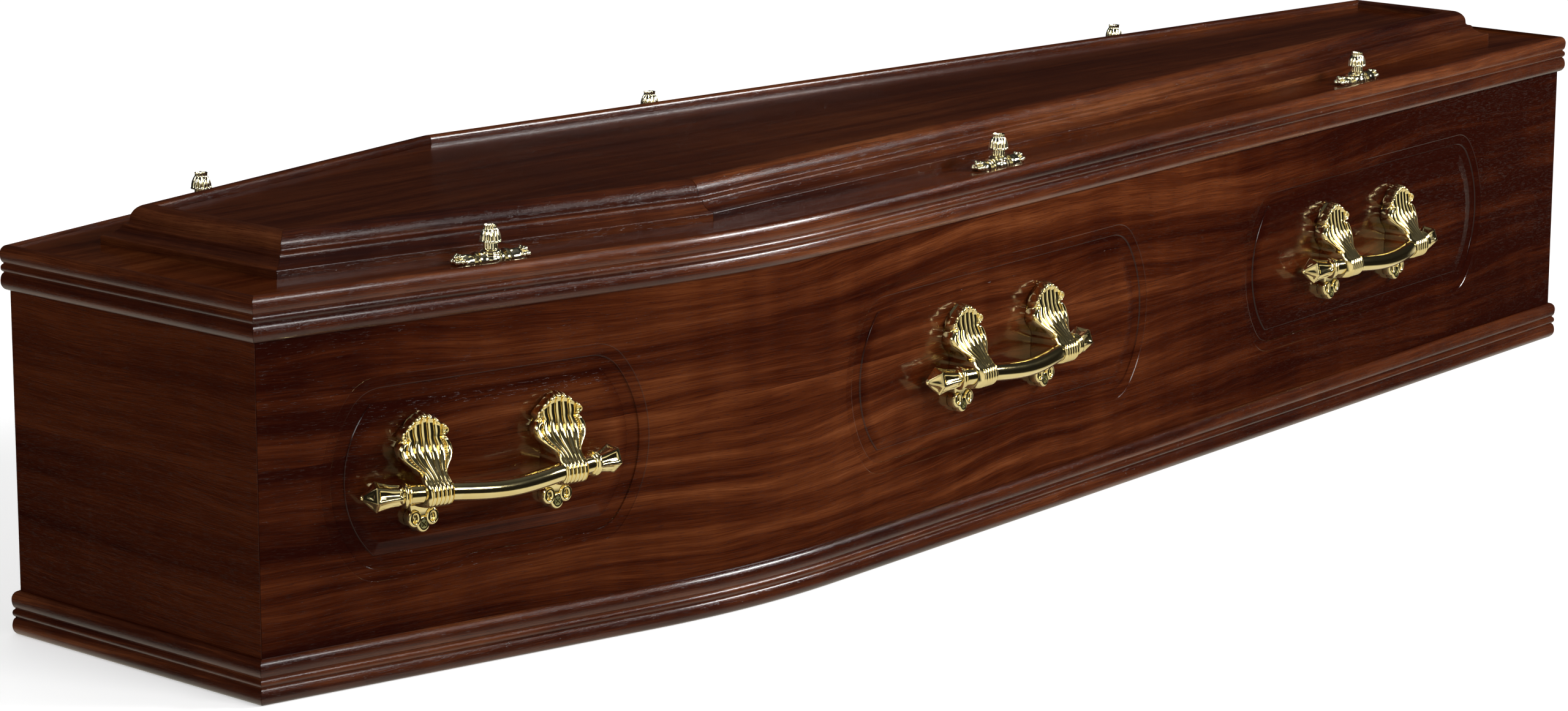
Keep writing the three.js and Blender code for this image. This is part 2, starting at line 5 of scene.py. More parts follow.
import bmesh
import bpy
import numpy as np
from mathutils import Matrix, Vector


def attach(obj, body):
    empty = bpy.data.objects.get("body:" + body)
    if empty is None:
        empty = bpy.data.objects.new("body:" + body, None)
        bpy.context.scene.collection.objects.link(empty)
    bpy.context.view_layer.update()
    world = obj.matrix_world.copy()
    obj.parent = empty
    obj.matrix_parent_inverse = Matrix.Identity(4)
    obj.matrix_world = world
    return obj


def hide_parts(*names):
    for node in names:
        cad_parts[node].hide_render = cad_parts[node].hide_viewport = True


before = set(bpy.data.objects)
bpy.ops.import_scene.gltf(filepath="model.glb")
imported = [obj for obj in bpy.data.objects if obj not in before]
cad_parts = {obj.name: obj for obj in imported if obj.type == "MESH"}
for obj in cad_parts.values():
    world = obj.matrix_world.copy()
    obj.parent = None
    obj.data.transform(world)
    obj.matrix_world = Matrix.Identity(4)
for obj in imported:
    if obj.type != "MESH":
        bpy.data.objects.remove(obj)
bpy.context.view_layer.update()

# Sizes in millimetres, in the row's frame: head end at -X, right side at -Y
MM = 0.001

# Body
BODY_LENGTH = 1918.0
HEAD_WIDTH = 308.0
SHOULDER_WIDTH = 503.0
FOOT_WIDTH = 283.0
SHOULDER_FROM_HEAD = 487.0
SHOULDER_RADIUS = 800.0
SHOULDER_STEPS = 30
WALL_HEIGHT = 320.0
WALL_THICKNESS = 16.0
FIT_GAP = 0.3
EDGE_ROUND = 0.9
SQUARE_EDGE = 70.0
WELD_REACH = 0.01

# Lid
LID_THICKNESS = 16.0
SIDE_LEDGE = 55.0
END_LEDGE = 63.0
FRAME_RISE = 7.6
NOSE_ROUND = 1.6
BAND_WIDTH = 13.4
BAND_RISE = 6.4
FILLET_WIDTH = 3.0
FILLET_RISE = 3.4
OVOLO_WIDTH = 12.8
OVOLO_HEIGHT = 12.7
FRAME_WIDTH = 32.0
CREST_HEIGHT = 33.4
INNER_FALL = 5.0
PANEL_RECESS = 7.4
PANEL_THICKNESS = 12.0
REBATE_WIDTH = 12.0

# Reeded moulding
MOULDING_HEIGHT = 38.6
MOULDING_THICKNESS = 6.0
MOULDING_ROOT = 0.9
REED_HALF = 7.5
SMALL_REED_HALF = 3.4
SMALL_REED_THICKNESS = 5.7
COVE_THICKNESS = 3.5
LID_MOULDING_DROP = 20.0

# Routed panels
PANEL_X = (-743.0, -103.0, 554.0)
PANEL_CENTRE_HEIGHT = 171.5
PANEL_HALF_HEIGHT = 76.0
PANEL_BOW = 34.0
PANEL_HALVES = (118.0, 199.0, 199.0)
CHANNEL_WIDTH = 12.5
CHANNEL_DEPTH = 2.2
BEVEL_WIDTH = 11.0
ROUNDED_CUT = 15.0
SHARP_CUT = 1.2
SIDE_SHARP = 28.0

# Handles
HANDLE_X = (-747.0, -112.0, 538.0)
HANDLE_HEIGHT = 161.5
BAR_RADIUS = 8.2
BAR_STAND_OFF = 35.5
BAR_BOW = 25.0
BAR_DROOP = 4.2
BAR_HALF_LENGTH = 126.0
CLASP_AT = 66.0
CLASP_RADIUS = 12.0
COLLAR_FROM = 88.0
COLLAR_TO = 94.5
FINIAL_NECK = 8.6
FINIAL_RADIUS = 12.9
FINIAL_WIDEST = 115.5
FINIAL_SIDES = 6
FINIAL_TURN = math.radians(17)
TIP_RADIUS = 2.3
BORE_GAP = 0.35
BORE_FROM = 46.0
BORE_TO = 86.0

# Wreath holders
HOLDER_X = {"left": (-724.0, -129.0, 541.0), "right": (-723.0, -88.0, 557.0)}
HOLDER_INSET = 20.0
CUP_FLUTES = 12

HEAD_X = -BODY_LENGTH / 2
FOOT_X = BODY_LENGTH / 2
HEAD_CORNER = np.array((HEAD_X, HEAD_WIDTH / 2))
SHOULDER_CORNER = np.array((HEAD_X + SHOULDER_FROM_HEAD, SHOULDER_WIDTH / 2))
FOOT_CORNER = np.array((FOOT_X, FOOT_WIDTH / 2))
LEDGE_HEIGHT = WALL_HEIGHT + LID_THICKNESS
LID_MOULDING_BOTTOM = WALL_HEIGHT - LID_MOULDING_DROP
PANEL_TOP = CREST_HEIGHT - PANEL_RECESS


def new_object(name, data):
    made = bpy.data.objects.new(name, data)
    bpy.context.scene.collection.objects.link(made)
    return made


# Camera, at the photograph's own angle

CAMERA_PLACE = (-3.28288, -2.81261, 1.06254)
CAMERA_YAW = -48.0
CAMERA_PITCH = 12.41
CAMERA_ROLL = 0.18
CAMERA_LENS = 103.67
SENSOR_WIDTH = 36.0


def add_camera():
    yaw, pitch, roll = map(math.radians, (CAMERA_YAW, CAMERA_PITCH, CAMERA_ROLL))
    look = Vector((
        -math.sin(yaw) * math.cos(pitch),
        math.cos(yaw) * math.cos(pitch),
        -math.sin(pitch),
    ))
    level = Vector((math.cos(yaw), math.sin(yaw), 0))
    upright = level.cross(look)
    right = level * math.cos(roll) + upright * math.sin(roll)
    up = upright * math.cos(roll) - level * math.sin(roll)
    data = bpy.data.cameras.new("camera")
    data.sensor_fit = "HORIZONTAL"
    data.sensor_width = SENSOR_WIDTH
    data.lens = CAMERA_LENS
    data.clip_end = 100
    camera = new_object("camera", data)
    columns = Matrix((right, up, -look)).transposed().to_4x4()
    camera.matrix_world = Matrix.Translation(CAMERA_PLACE) @ columns
    bpy.context.scene.camera = camera


add_camera()


# Shader maths

def set_stops(ramp, stops):
    """A colour ramp's stops, as (place, colour) pairs."""
    while len(ramp.elements) < len(stops):
        ramp.elements.new(1.0)
    for element, (place, colour) in zip(ramp.elements, stops):
        element.position = place
        element.color = (*colour, 1.0)


class Value:
    """An output socket. Sums, differences, products and powers of it add Math nodes."""

    def __init__(self, tree, socket):
        self.tree = tree
        self.socket = socket

    def maths(self, operation, first, second):
        return self.tree.node("ShaderNodeMath", {"operation": operation}, {0: first, 1: second})

    def __add__(self, other):
        return self.maths("ADD", self, other)

    def __sub__(self, other):
        return self.maths("SUBTRACT", self, other)

    def __mul__(self, other):
        return self.maths("MULTIPLY", self, other)

    def __pow__(self, other):
        return self.maths("POWER", self, other)

    __radd__ = __add__


class Tree:
    """The procedural nodes of a material or of the world."""

    def __init__(self, owner):
        owner.use_nodes = True
        self.nodes = owner.node_tree.nodes
        self.links = owner.node_tree.links
        self.nodes.clear()

    def node(self, kind, settings=None, inputs=None, output=0):
        """A new node's output. The setting "stops" fills a colour ramp."""
        made = self.nodes.new(kind)
        for name, setting in (settings or {}).items():
            if name == "stops":
                set_stops(made.color_ramp, setting)
            else:
                setattr(made, name, setting)
        self.fill(made, inputs or {})
        return Value(self, made.outputs[output])

    def fill(self, made, inputs):
        for name, given in inputs.items():
            if isinstance(given, Value):
                self.links.new(given.socket, made.inputs[name])
            else:
                made.inputs[name].default_value = given

    def stretched(self, place, scale):
        return self.node("ShaderNodeVectorMath", {"operation": "MULTIPLY"}, {0: place, 1: scale})

    def split(self, place):
        return [self.node("ShaderNodeSeparateXYZ", None, {0: place}, axis) for axis in range(3)]

    def joined(self, x, y, z):
        return self.node("ShaderNodeCombineXYZ", None, {0: x, 1: y, 2: z})

    def noise(self, place, scale=1.0, detail=2.0, roughness=0.5):
        inputs = {"Vector": place, "Scale": scale, "Detail": detail, "Roughness": roughness}
        return self.node("ShaderNodeTexNoise", None, inputs)

    def between(self, value, low, high, start=0.0, end=1.0):
        inputs = {"Value": value, "From Min": low, "From Max": high, "To Min": start, "To Max": end}
        return self.node("ShaderNodeMapRange", {"interpolation_type": "SMOOTHSTEP"}, inputs)

    def ramp(self, value, stops):
        return self.node("ShaderNodeValToRGB", {"stops": stops}, {0: value})

    def mixed(self, share, *colours):
        """A share of the way from one colour to another."""
        first, second = ((*each, 1.0) if isinstance(each, tuple) else each for each in colours)
        return self.node("ShaderNodeMix", {"data_type": "RGBA"}, {0: share, 6: first, 7: second}, 2)

    def bumped(self, height, distance):
        return self.node("ShaderNodeBump", None, {"Distance": distance, "Height": height})


class Finish(Tree):
    """One material and its shader."""

    def __init__(self, name):
        self.material = bpy.data.materials.new(name)
        super().__init__(self.material)
        self.surface = self.nodes.new("ShaderNodeBsdfPrincipled")
        output = self.nodes.new("ShaderNodeOutputMaterial")
        self.links.new(self.surface.outputs["BSDF"], output.inputs["Surface"])

    def shade(self, **sockets):
        """Sets or links the shader's own sockets, named with underscores for spaces."""
        self.fill(self.surface, {name.replace("_", " "): given for name, given in sockets.items()})
        return self.material

    def place(self):
        return self.node("ShaderNodeTexCoord", output="Object")


# Finishes

VENEER_STOPS = (
    (0.15, (0.0110, 0.0012, 0.0003)),
    (0.38, (0.0250, 0.0042, 0.0009)),
    (0.55, (0.0430, 0.0090, 0.0021)),
    (0.72, (0.0700, 0.0175, 0.0045)),
    (0.92, (0.1150, 0.0350, 0.0110)),
)


SHEETS_APART = 7.0


def grain_tone(finish, along, across, sheet, ribbon, waviness):
    """How light the veneer is: ribbons, finer streaks, fibres and pores, all along the grain."""

    def pattern(place, per_metre, detail, roughness=0.5):
        scaled = finish.stretched(place, (*per_metre, SHEETS_APART))
        return finish.noise(scaled, 1.0, detail, roughness)

    base = finish.joined(along, across, sheet)
    wander = pattern(base, (2.1, 5.0), 1.0) - 0.5
    ripple = pattern(base, (9.0, 22.0), 1.0) - 0.5
    wavy = across + wander * (0.045 * waviness) + ripple * (0.006 * waviness)
    grain = finish.joined(along, wavy, sheet)
    broad = pattern(grain, (1.3, 34.0), 2.0, 0.55) - 0.5
    streak = pattern(grain, (4.0, 130.0), 3.0, 0.6) - 0.5
    fibre = pattern(grain, (22.0, 950.0), 2.0, 0.6) - 0.5
    pores = finish.between(pattern(grain, (95.0, 2300.0), 1.0), 0.60, 0.72)
    rays = pattern(base, (26.0, 3.0), 2.0) - 0.5
    cloud = pattern(base, (2.4, 3.0), 1.0) - 0.5
    tone = 0.51 + broad * (1.15 * ribbon) + streak * (0.80 * ribbon) + fibre * 0.46
    tone = tone + rays * (0.24 * ribbon) + cloud * 0.40
    return tone - pores * 0.20, pores, fibre


SEAM_EDGE = 0.0001
SEAM_HALF = 0.0004
LEAF_SHIFT = 3.7
LACQUER_WAVES = 35.0
LACQUER_PEEL = 260.0
VENEER_RELIEF = 0.00006


def polished_veneer(
    name, along, across, sheet=0.0, lift=0.0, ribbon=0.9, waviness=1.0,
    seam=None, ends=(), routed=False, sheen=1.0,
):
    """Gloss-lacquered mahogany veneer, its grain along one named axis and across another.

    Two leaves meet at the height of seam, ends darken it, partly as painted shade, and routed darkens
    its channels with painted shade.
    """
    finish = Finish(name)
    axes = dict(zip("XYZ", finish.split(finish.place())))
    run, width = axes[along], axes[across]
    layer = sheet
    if seam is not None:
        above = finish.between(axes["Z"], seam - SEAM_EDGE, seam + SEAM_EDGE)
        layer = above * LEAF_SHIFT + layer
    tone, pores, fibre = grain_tone(finish, run, width, layer, ribbon, waviness)
    tone = tone + lift
    # Darker stretches along the grain: on the sides partly the veneer's own tone and partly painted
    # shade
    for start, end, change in ends:
        tone = tone + finish.between(run, start, end, 0.0, change)
    # Painted shade: the routed channels are darkened, most along the sharp inner step
    if routed:
        depth = finish.node("ShaderNodeAttribute", {"attribute_name": "routed"}, output="Fac")
        tone = tone - depth * CHANNEL_PAINTED_SHADE
    if seam is not None:
        below_line = finish.between(axes["Z"], seam - SEAM_HALF, seam)
        line = below_line * finish.between(axes["Z"], seam + SEAM_HALF, seam)
        tone = tone - line * 0.2 + above * -0.03
    colour = finish.ramp(tone, VENEER_STOPS)
    polish = finish.noise(finish.stretched(finish.place(), (LACQUER_WAVES,) * 3), 1.0, 2.0)
    peel = finish.noise(finish.stretched(finish.place(), (LACQUER_PEEL,) * 3), 1.0, 1.0)
    height = peel * 0.5 - pores * 0.5 + fibre * 0.12
    return finish.shade(
        Base_Color=colour,
        Roughness=polish * 0.07 + 0.11,
        Normal=finish.bumped(height, VENEER_RELIEF),
        Specular_IOR_Level=0.20 * sheen,
        Coat_Weight=0.16 * sheen,
        Coat_Roughness=0.05,
    )


MOULDING_RELIEF = 0.00008


def wrapped_moulding(name, lift=0.0):
    """Veneer-wrapped moulding under gloss lacquer, with its grain along the sweep."""
    finish = Finish(name)
    grain = finish.node("ShaderNodeAttribute", {"attribute_name": "grain"}, output="Vector")
    along, across, sheet = finish.split(grain)
    tone, pores, _ = grain_tone(finish, along, across, sheet, ribbon=1.1, waviness=0.6)
    pits = finish.noise(finish.stretched(grain, (520.0, 1900.0, SHEETS_APART)), 1.0, 1.0)
    worn = finish.noise(finish.stretched(grain, (30.0, 60.0, SHEETS_APART)), 1.0, 2.0)
    height = finish.between(pits, 0.25, 0.6) * 0.6 - pores * 0.4
    return finish.shade(
        Base_Color=finish.ramp(tone + lift, VENEER_STOPS),
        Roughness=worn * 0.10 + 0.15,
        Normal=finish.bumped(height, MOULDING_RELIEF),
        Specular_IOR_Level=0.34,
        Coat_Weight=0.25,
        Coat_Roughness=0.08,
    )


BARE_STOPS = ((0.2, (0.20, 0.10, 0.045)), (0.5, (0.36, 0.20, 0.095)), (0.85, (0.50, 0.31, 0.16)))
BARE_RELIEF = 0.0002


def bare_boards(name):
    """Sanded board for the floor."""
    finish = Finish(name)
    x, y, z = finish.split(finish.place())
    tone, pores, fibre = grain_tone(finish, x, y, z, ribbon=0.7, waviness=1.0)
    return finish.shade(
        Base_Color=finish.ramp(tone, BARE_STOPS),
        Roughness=fibre * 0.2 + 0.6,
        Normal=finish.bumped(fibre - pores, BARE_RELIEF),
    )


CASTING_RELIEF = 0.00003


def polished_brass(name, colour, deep, roughness):
    """Polished and lacquered brass with a faint ripple of the casting."""
    finish = Finish(name)
    place = finish.place()
    cloud = finish.noise(place, 60.0)
    ripple = finish.noise(place, 240.0)
    return finish.shade(
        Base_Color=finish.mixed(finish.between(cloud, 0.35, 0.7), colour, deep),
        Metallic=1.0,
        Roughness=cloud * 0.05 + roughness,
        Normal=finish.bumped(ripple, CASTING_RELIEF),
    )


def screw_steel(name):
    """Zinc-plated screw head, yellow in the brass around it."""
    finish = Finish(name)
    cloud = finish.noise(finish.place(), 900.0)
    tint = finish.mixed(cloud, (0.50, 0.46, 0.20), (0.34, 0.36, 0.17))
    return finish.shade(Base_Color=tint, Metallic=1.0, Roughness=cloud * 0.2 + 0.22)


# Heights where two leaves of veneer meet, in metres
SIDE_SEAM = 0.192
END_SEAM = 0.184

# How far painted shade darkens the veneer in the routed channels
CHANNEL_PAINTED_SHADE = 0.22
# Share of the painted shade at each depth in millimetres: most at the sharp inner step, 1.05 to 1.5
# deep
PAINTED_SHADE_AT_DEPTH = (
    (0, 0), (0.12, 0.05), (0.45, 0.2), (0.9, 0.25), (1.05, 0.8),
    (1.15, 0.6), (1.5, 1.0), (1.8, 0.7), (2.2, 0.45),
)
# Where the side veneer darkens along the coffin, from and to in metres, and by how much: partly the
# veneer's own tone, partly painted shade towards both ends
ENDS_TONE_AND_SHADE = ((-0.64, -0.95, -0.26), (0.0, 0.40, -0.15), (0.45, 0.88, -0.20))

SIDE_VENEER = polished_veneer(
    "side_veneer", "X", "Z", lift=0.01, ribbon=1.0, waviness=1.3,
    seam=SIDE_SEAM, ends=ENDS_TONE_AND_SHADE, routed=True,
)
END_VENEER = polished_veneer(
    "end_veneer", "Y", "Z", sheet=2.3, lift=-0.06, ribbon=0.38, seam=END_SEAM
)
LID_VENEER = polished_veneer(
    "lid_veneer", "X", "Y", sheet=4.1, lift=-0.02, ribbon=0.6, waviness=0.7, sheen=0.4
)
PANEL_VENEER = polished_veneer(
    "panel_veneer", "X", "Y", sheet=6.2, lift=-0.02, ribbon=0.5, waviness=0.8, sheen=0.6
)
MOULDING_WRAP = wrapped_moulding("moulding_wrap", lift=-0.01)
FRAME_WRAP = wrapped_moulding("frame_wrap", lift=0.02)
BARE_BOARD = bare_boards("bare_board")
BRASS = polished_brass("brass", (0.91, 0.77, 0.40), (0.88, 0.72, 0.34), 0.07)
PALE_BRASS = polished_brass("pale_brass", (0.94, 0.87, 0.62), (0.92, 0.84, 0.56), 0.07)
SCREW = screw_steel("screw_steel")


# Shapes: arrays of points in millimetres, and faces as lists of point numbers

def lofted(rings):
    """Joins closed rings of points, ring by ring, and closes the first and last."""
    rings = np.asarray(rings, float)
    count, around = rings.shape[:2]
    faces = []
    for ring in range(count - 1):
        for i in range(around):
            a = ring * around + i
            b = ring * around + (i + 1) % around
            faces.append((a, b, b + around, a + around))
    last = (count - 1) * around
    faces.append(tuple(reversed(range(around))))
    faces.append(tuple(range(last, last + around)))
    return rings.reshape(-1, 3), faces


def gathered(shapes):
    """Several shapes as one."""
    points, faces = [], []
    start = 0
    for shape_points, shape_faces in shapes:
        points.append(np.asarray(shape_points, float))
        faces.extend(tuple(start + i for i in face) for face in shape_faces)
        start += len(shape_points)
    return np.vstack(points), faces


def turned(profile, around, flute=None):
    """A shape turned about Z from (radius, height) points that start and end on the axis."""
    angles = np.linspace(0, 2 * math.pi, around, endpoint=False)
    rings = []
    for radius, height in profile:
        reach = radius * (np.ones(around) if flute is None else flute(angles, height))
        x, y = reach * np.cos(angles), reach * np.sin(angles)
        rings.append(np.column_stack((x, y, np.full(around, height))))
    return lofted(rings)


def ball(centre, radius, rows=8, around=12):
    angles = np.linspace(-math.pi / 2, math.pi / 2, rows + 1)
    reach = np.maximum(np.cos(angles), 0.02)
    points, faces = turned(list(zip(radius * reach, radius * np.sin(angles))), around)
    return points + np.asarray(centre), faces


def set_values(mesh, name, kind, field, values):
    """A value of its own for each point of a mesh."""
    data = mesh.attributes.new(name, kind, "POINT").data
    data.foreach_set(field, values.astype(np.float32).ravel())


def new_mesh(name, shape, sharp):
    """A mesh whose edges are sharp above an angle in degrees."""
    points, faces = shape
    mesh = bpy.data.meshes.new(name)
    mesh.from_pydata((np.asarray(points) * MM).tolist(), [], faces)
    working = bmesh.new()
    working.from_mesh(mesh)
    bmesh.ops.recalc_face_normals(working, faces=working.faces)
    working.to_mesh(mesh)
    working.free()
    mesh.shade_smooth()
    mesh.set_sharp_from_angle(angle=math.radians(sharp))
    return mesh


def add_piece(name, shape, finish, nodes, sharp=32.0, grain=None):
    """A piece of the coffin that stands for the frame's own nodes."""
    mesh = shape if isinstance(shape, bpy.types.Mesh) else new_mesh(name, shape, sharp)
    if grain is not None:
        set_values(mesh, "grain", "FLOAT_VECTOR", "vector", grain)
    mesh.materials.append(finish)
    piece = new_object(name, mesh)
    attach(piece, "root")
    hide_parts(*nodes)
    return piece


def curve_through(keys, at):
    """A smooth curve through (place, value) keys, read at many places."""
    places, values = np.asarray(keys, float).T
    slopes = np.gradient(values, places)
    i = np.clip(np.searchsorted(places, at) - 1, 0, len(places) - 2)
    span = places[i + 1] - places[i]
    t = np.clip((at - places[i]) / span, 0, 1)
    start = (1 + 2 * t) * (1 - t) ** 2 * values[i] + t * (1 - t) ** 2 * span * slopes[i]
    return start + t * t * (3 - 2 * t) * values[i + 1] + t * t * (t - 1) * span * slopes[i + 1]


def stepped(value, low, high):
    """0 below low, 1 above high, smooth between."""
    t = np.clip((value - low) / (high - low), 0, 1)
    return t * t * (3 - 2 * t)


# The plan: `out` moves a line outwards from the body's outer face

def moved_line(start, end, out):
    along = (end - start) / np.linalg.norm(end - start)
    normal = np.array((-along[1], along[0]))
    return start + normal * out, along


def meeting(one, other):
    (p, u), (q, v) = one, other
    between = q - p
    share = (between[0] * v[1] - between[1] * v[0]) / (u[0] * v[1] - u[1] * v[0])
    return p + u * share


def at_x(line, x):
    start, along = line
    return start + along * ((x - start[0]) / along[0])


def side_lines(out):
    upper = moved_line(HEAD_CORNER, SHOULDER_CORNER, out)
    return upper, moved_line(SHOULDER_CORNER, FOOT_CORNER, out)


def left_side(out, trim=0.0):
    """The left side from head to foot, bent round at the shoulder, its ends held back by trim."""
    upper, lower = side_lines(out)
    centre = meeting(*side_lines(-SHOULDER_RADIUS))
    first, last = (math.atan2(line[1][0], -line[1][1]) for line in (upper, lower))
    angles = np.linspace(first, last, SHOULDER_STEPS + 1)
    bend = centre + (SHOULDER_RADIUS + out) * np.column_stack((np.cos(angles), np.sin(angles)))
    start = at_x(upper, HEAD_X - out) + upper[1] * trim
    end = at_x(lower, FOOT_X + out) - lower[1] * trim
    return np.vstack((start, bend, end))


def frame_corners(out):
    """The left corners of a line of the raised frame, counted from its nose."""
    upper, lower = side_lines(out - SIDE_LEDGE)
    end = out - END_LEDGE
    return np.array((at_x(upper, HEAD_X - end), meeting(upper, lower), at_x(lower, FOOT_X + end)))


def mirrored(path):
    return path * np.array((1.0, -1.0))


def across_end(corner):
    """A path from a left corner's mirror image to the corner."""
    return np.vstack((corner * (1, -1), corner))


def held_back(path):
    """A straight path, its ends held back for the joints."""
    along = (path[1] - path[0]) / np.linalg.norm(path[1] - path[0])
    return np.vstack((path[0] + along * FIT_GAP, path[1] - along * FIT_GAP))


def lengths_along(path):
    steps = np.linalg.norm(np.diff(path, axis=0), axis=1)
    return np.concatenate(((0,), np.cumsum(steps)))


def swept(profile, path_at, sheet):
    """A profile of (out, height) points along a path that depends on how far out a point lies.

    With the grain at each point: metres along the path, metres round the profile, and the sheet.
    """
    paths = [path_at(out) for out, _ in profile]
    heights = [height for _, height in profile]
    rings = [[(*point, height) for point, height in zip(points, heights)] for points in zip(*paths)]
    along = lengths_along(paths[0])
    grain = np.empty((len(along), len(profile), 3))
    grain[..., 0] = along[:, None] * MM
    grain[..., 1] = lengths_along(profile) * MM
    grain[..., 2] = sheet
    return lofted(rings), grain.reshape(-1, 3)


def place_on_side(x, right, out):
    """A turn about Z and a place on a side's outer face, moved outwards by out."""
    upper, lower = side_lines(out)
    line = upper if x < SHOULDER_CORNER[0] else lower
    point = at_x(line, x)
    slope = math.atan2(line[1][1], line[1][0])
    if right:
        return point[0], -point[1], -slope
    return point[0], point[1], math.pi + slope


def stood(points, x, y, turn, height):
    """Points of a fitting's own frame (X along the face, -Y outwards) put where it belongs."""
    c, s = math.cos(turn), math.sin(turn)
    points = np.asarray(points, float)
    rotated = points @ np.array(((c, s, 0), (-s, c, 0), (0, 0, 1)))
    return rotated + np.array((x, y, height))


# Mouldings

def reed(centre, half, root, crest, start, end, steps):
    """Part of a rounded bead's section, between two angles in degrees up from its crest."""
    angles = np.radians(np.linspace(start, end, steps))
    return np.column_stack((root + (crest - root) * np.cos(angles), centre + half * np.sin(angles)))


def reeded_profile(bottom):
    """The moulding's section: two broad reeds and a small one between them."""
    low = bottom + REED_HALF
    middle = bottom + MOULDING_HEIGHT / 2
    high = bottom + MOULDING_HEIGHT - REED_HALF
    return np.vstack((
        (FIT_GAP, bottom),
        reed(low, REED_HALF, MOULDING_ROOT, MOULDING_THICKNESS, -90, 0, 10),
        reed(low, REED_HALF, COVE_THICKNESS, MOULDING_THICKNESS, 8, 84, 9),
        reed(middle, SMALL_REED_HALF, COVE_THICKNESS, SMALL_REED_THICKNESS, -84, 84, 13),
        reed(high, REED_HALF, COVE_THICKNESS, MOULDING_THICKNESS, -84, -8, 9),
        reed(high, REED_HALF, MOULDING_ROOT, MOULDING_THICKNESS, 0, 90, 10),
        (FIT_GAP, bottom + MOULDING_HEIGHT),
    ))


def add_lengths(row, ending, finish, profile, routes, sheet, apart):
    """A row of mouldings, each along its own route and from a sheet of its own."""
    for index, (place, route) in enumerate(routes.items()):
        shape, grain = swept(profile, route, sheet + index * apart)
        name = f"{row}_{place}"
        add_piece(f"{name}_{ending}", shape, finish, [name], grain=grain)


def add_mouldings(edge, bottom, sheet):
    routes = {
        "left": lambda out: left_side(out, FIT_GAP),
        "right": lambda out: mirrored(left_side(out, FIT_GAP)),
        "head": lambda out: across_end(left_side(out)[0]),
        "foot": lambda out: across_end(left_side(out)[-1]),
    }
    profile = reeded_profile(bottom)
    add_lengths(f"{edge}_moulding", "reeded", MOULDING_WRAP, profile, routes, sheet, 1.7)


def bent(start, control, end, steps):
    """A curve from start to end, drawn towards control, without its first point."""
    t = np.linspace(0, 1, steps + 1)[1:, None]
    start, control, end = map(np.asarray, (start, control, end))
    return (1 - t) ** 2 * start + 2 * t * (1 - t) * control + t ** 2 * end


def frame_profile():
    """The raised frame's section as (out, height), from its nose to the rebate of the top panel."""
    band_top = FRAME_RISE + BAND_RISE
    fillet_top = band_top + FILLET_RISE
    ovolo_foot = CREST_HEIGHT - OVOLO_HEIGHT
    inner = FRAME_WIDTH + INNER_FALL
    lip = inner - 0.4
    turn = np.radians(np.linspace(4, 90, 16))
    ovolo_start = FRAME_WIDTH - OVOLO_WIDTH
    ovolo = np.column_stack((
        FRAME_WIDTH - OVOLO_WIDTH * np.cos(turn),
        ovolo_foot + OVOLO_HEIGHT * np.sin(turn),
    ))
    nose = (NOSE_ROUND, FRAME_RISE)
    band_end = (BAND_WIDTH, band_top)
    fillet_end = (BAND_WIDTH + FILLET_WIDTH, fillet_top)
    points = np.vstack((
        (0, 0),
        (0, FRAME_RISE - NOSE_ROUND),
        bent((0, FRAME_RISE - NOSE_ROUND), (0, FRAME_RISE), nose, 5),
        bent(nose, (BAND_WIDTH * 0.62, FRAME_RISE + 0.6), band_end, 8),
        bent(band_end, (BAND_WIDTH + 0.2, fillet_top), fillet_end, 6),
        bent(fillet_end, (ovolo_start, fillet_top + 0.2), (ovolo_start, ovolo_foot), 5),
        ovolo,
        bent((FRAME_WIDTH, CREST_HEIGHT), (lip, CREST_HEIGHT), (lip, PANEL_TOP + 1.5), 8),
        (inner, PANEL_TOP - PANEL_THICKNESS),
        (inner + REBATE_WIDTH, PANEL_TOP - PANEL_THICKNESS - FIT_GAP),
        (inner + REBATE_WIDTH, 0),
    ))
    return points * (-1, 1) + (0, LEDGE_HEIGHT)


def add_raised_frame():
    routes = {
        "head": lambda out: across_end(frame_corners(out)[0]),
        "foot": lambda out: across_end(frame_corners(out)[2]),
        "left_upper": lambda out: held_back(frame_corners(out)[:2]),
        "left_lower": lambda out: held_back(frame_corners(out)[1:]),
        "right_upper": lambda out: mirrored(held_back(frame_corners(out)[:2])),
        "right_lower": lambda out: mirrored(held_back(frame_corners(out)[1:])),
    }
    add_lengths("raised_frame", "moulded", FRAME_WRAP, frame_profile(), routes, 20, 1.3)


# Side boards

def panel_outline(half, out, cut):
    """A panel's outline moved outwards: straight edges, bowed ends, and corners cut back."""
    radius = (PANEL_HALF_HEIGHT ** 2 + PANEL_BOW ** 2) / (2 * PANEL_BOW)
    centre = half + PANEL_BOW - radius
    reach = radius + out
    height = PANEL_HALF_HEIGHT + out
    corner = np.array((centre + math.sqrt(reach ** 2 - height ** 2), height))
    cut_angle = math.asin(height / reach) - cut / reach

    def on_end(angle):
        return np.array((centre + reach * np.cos(angle), reach * np.sin(angle))).T

    before = np.array((corner[0] - cut, height))
    bend = np.vstack((before, bent(before, corner, on_end(cut_angle), 7)))
    end = on_end(np.linspace(cut_angle, -cut_angle, 34)[1:-1])
    right = np.vstack((bend, end, (bend * (1, -1))[::-1]))
    return np.vstack((right, -right))


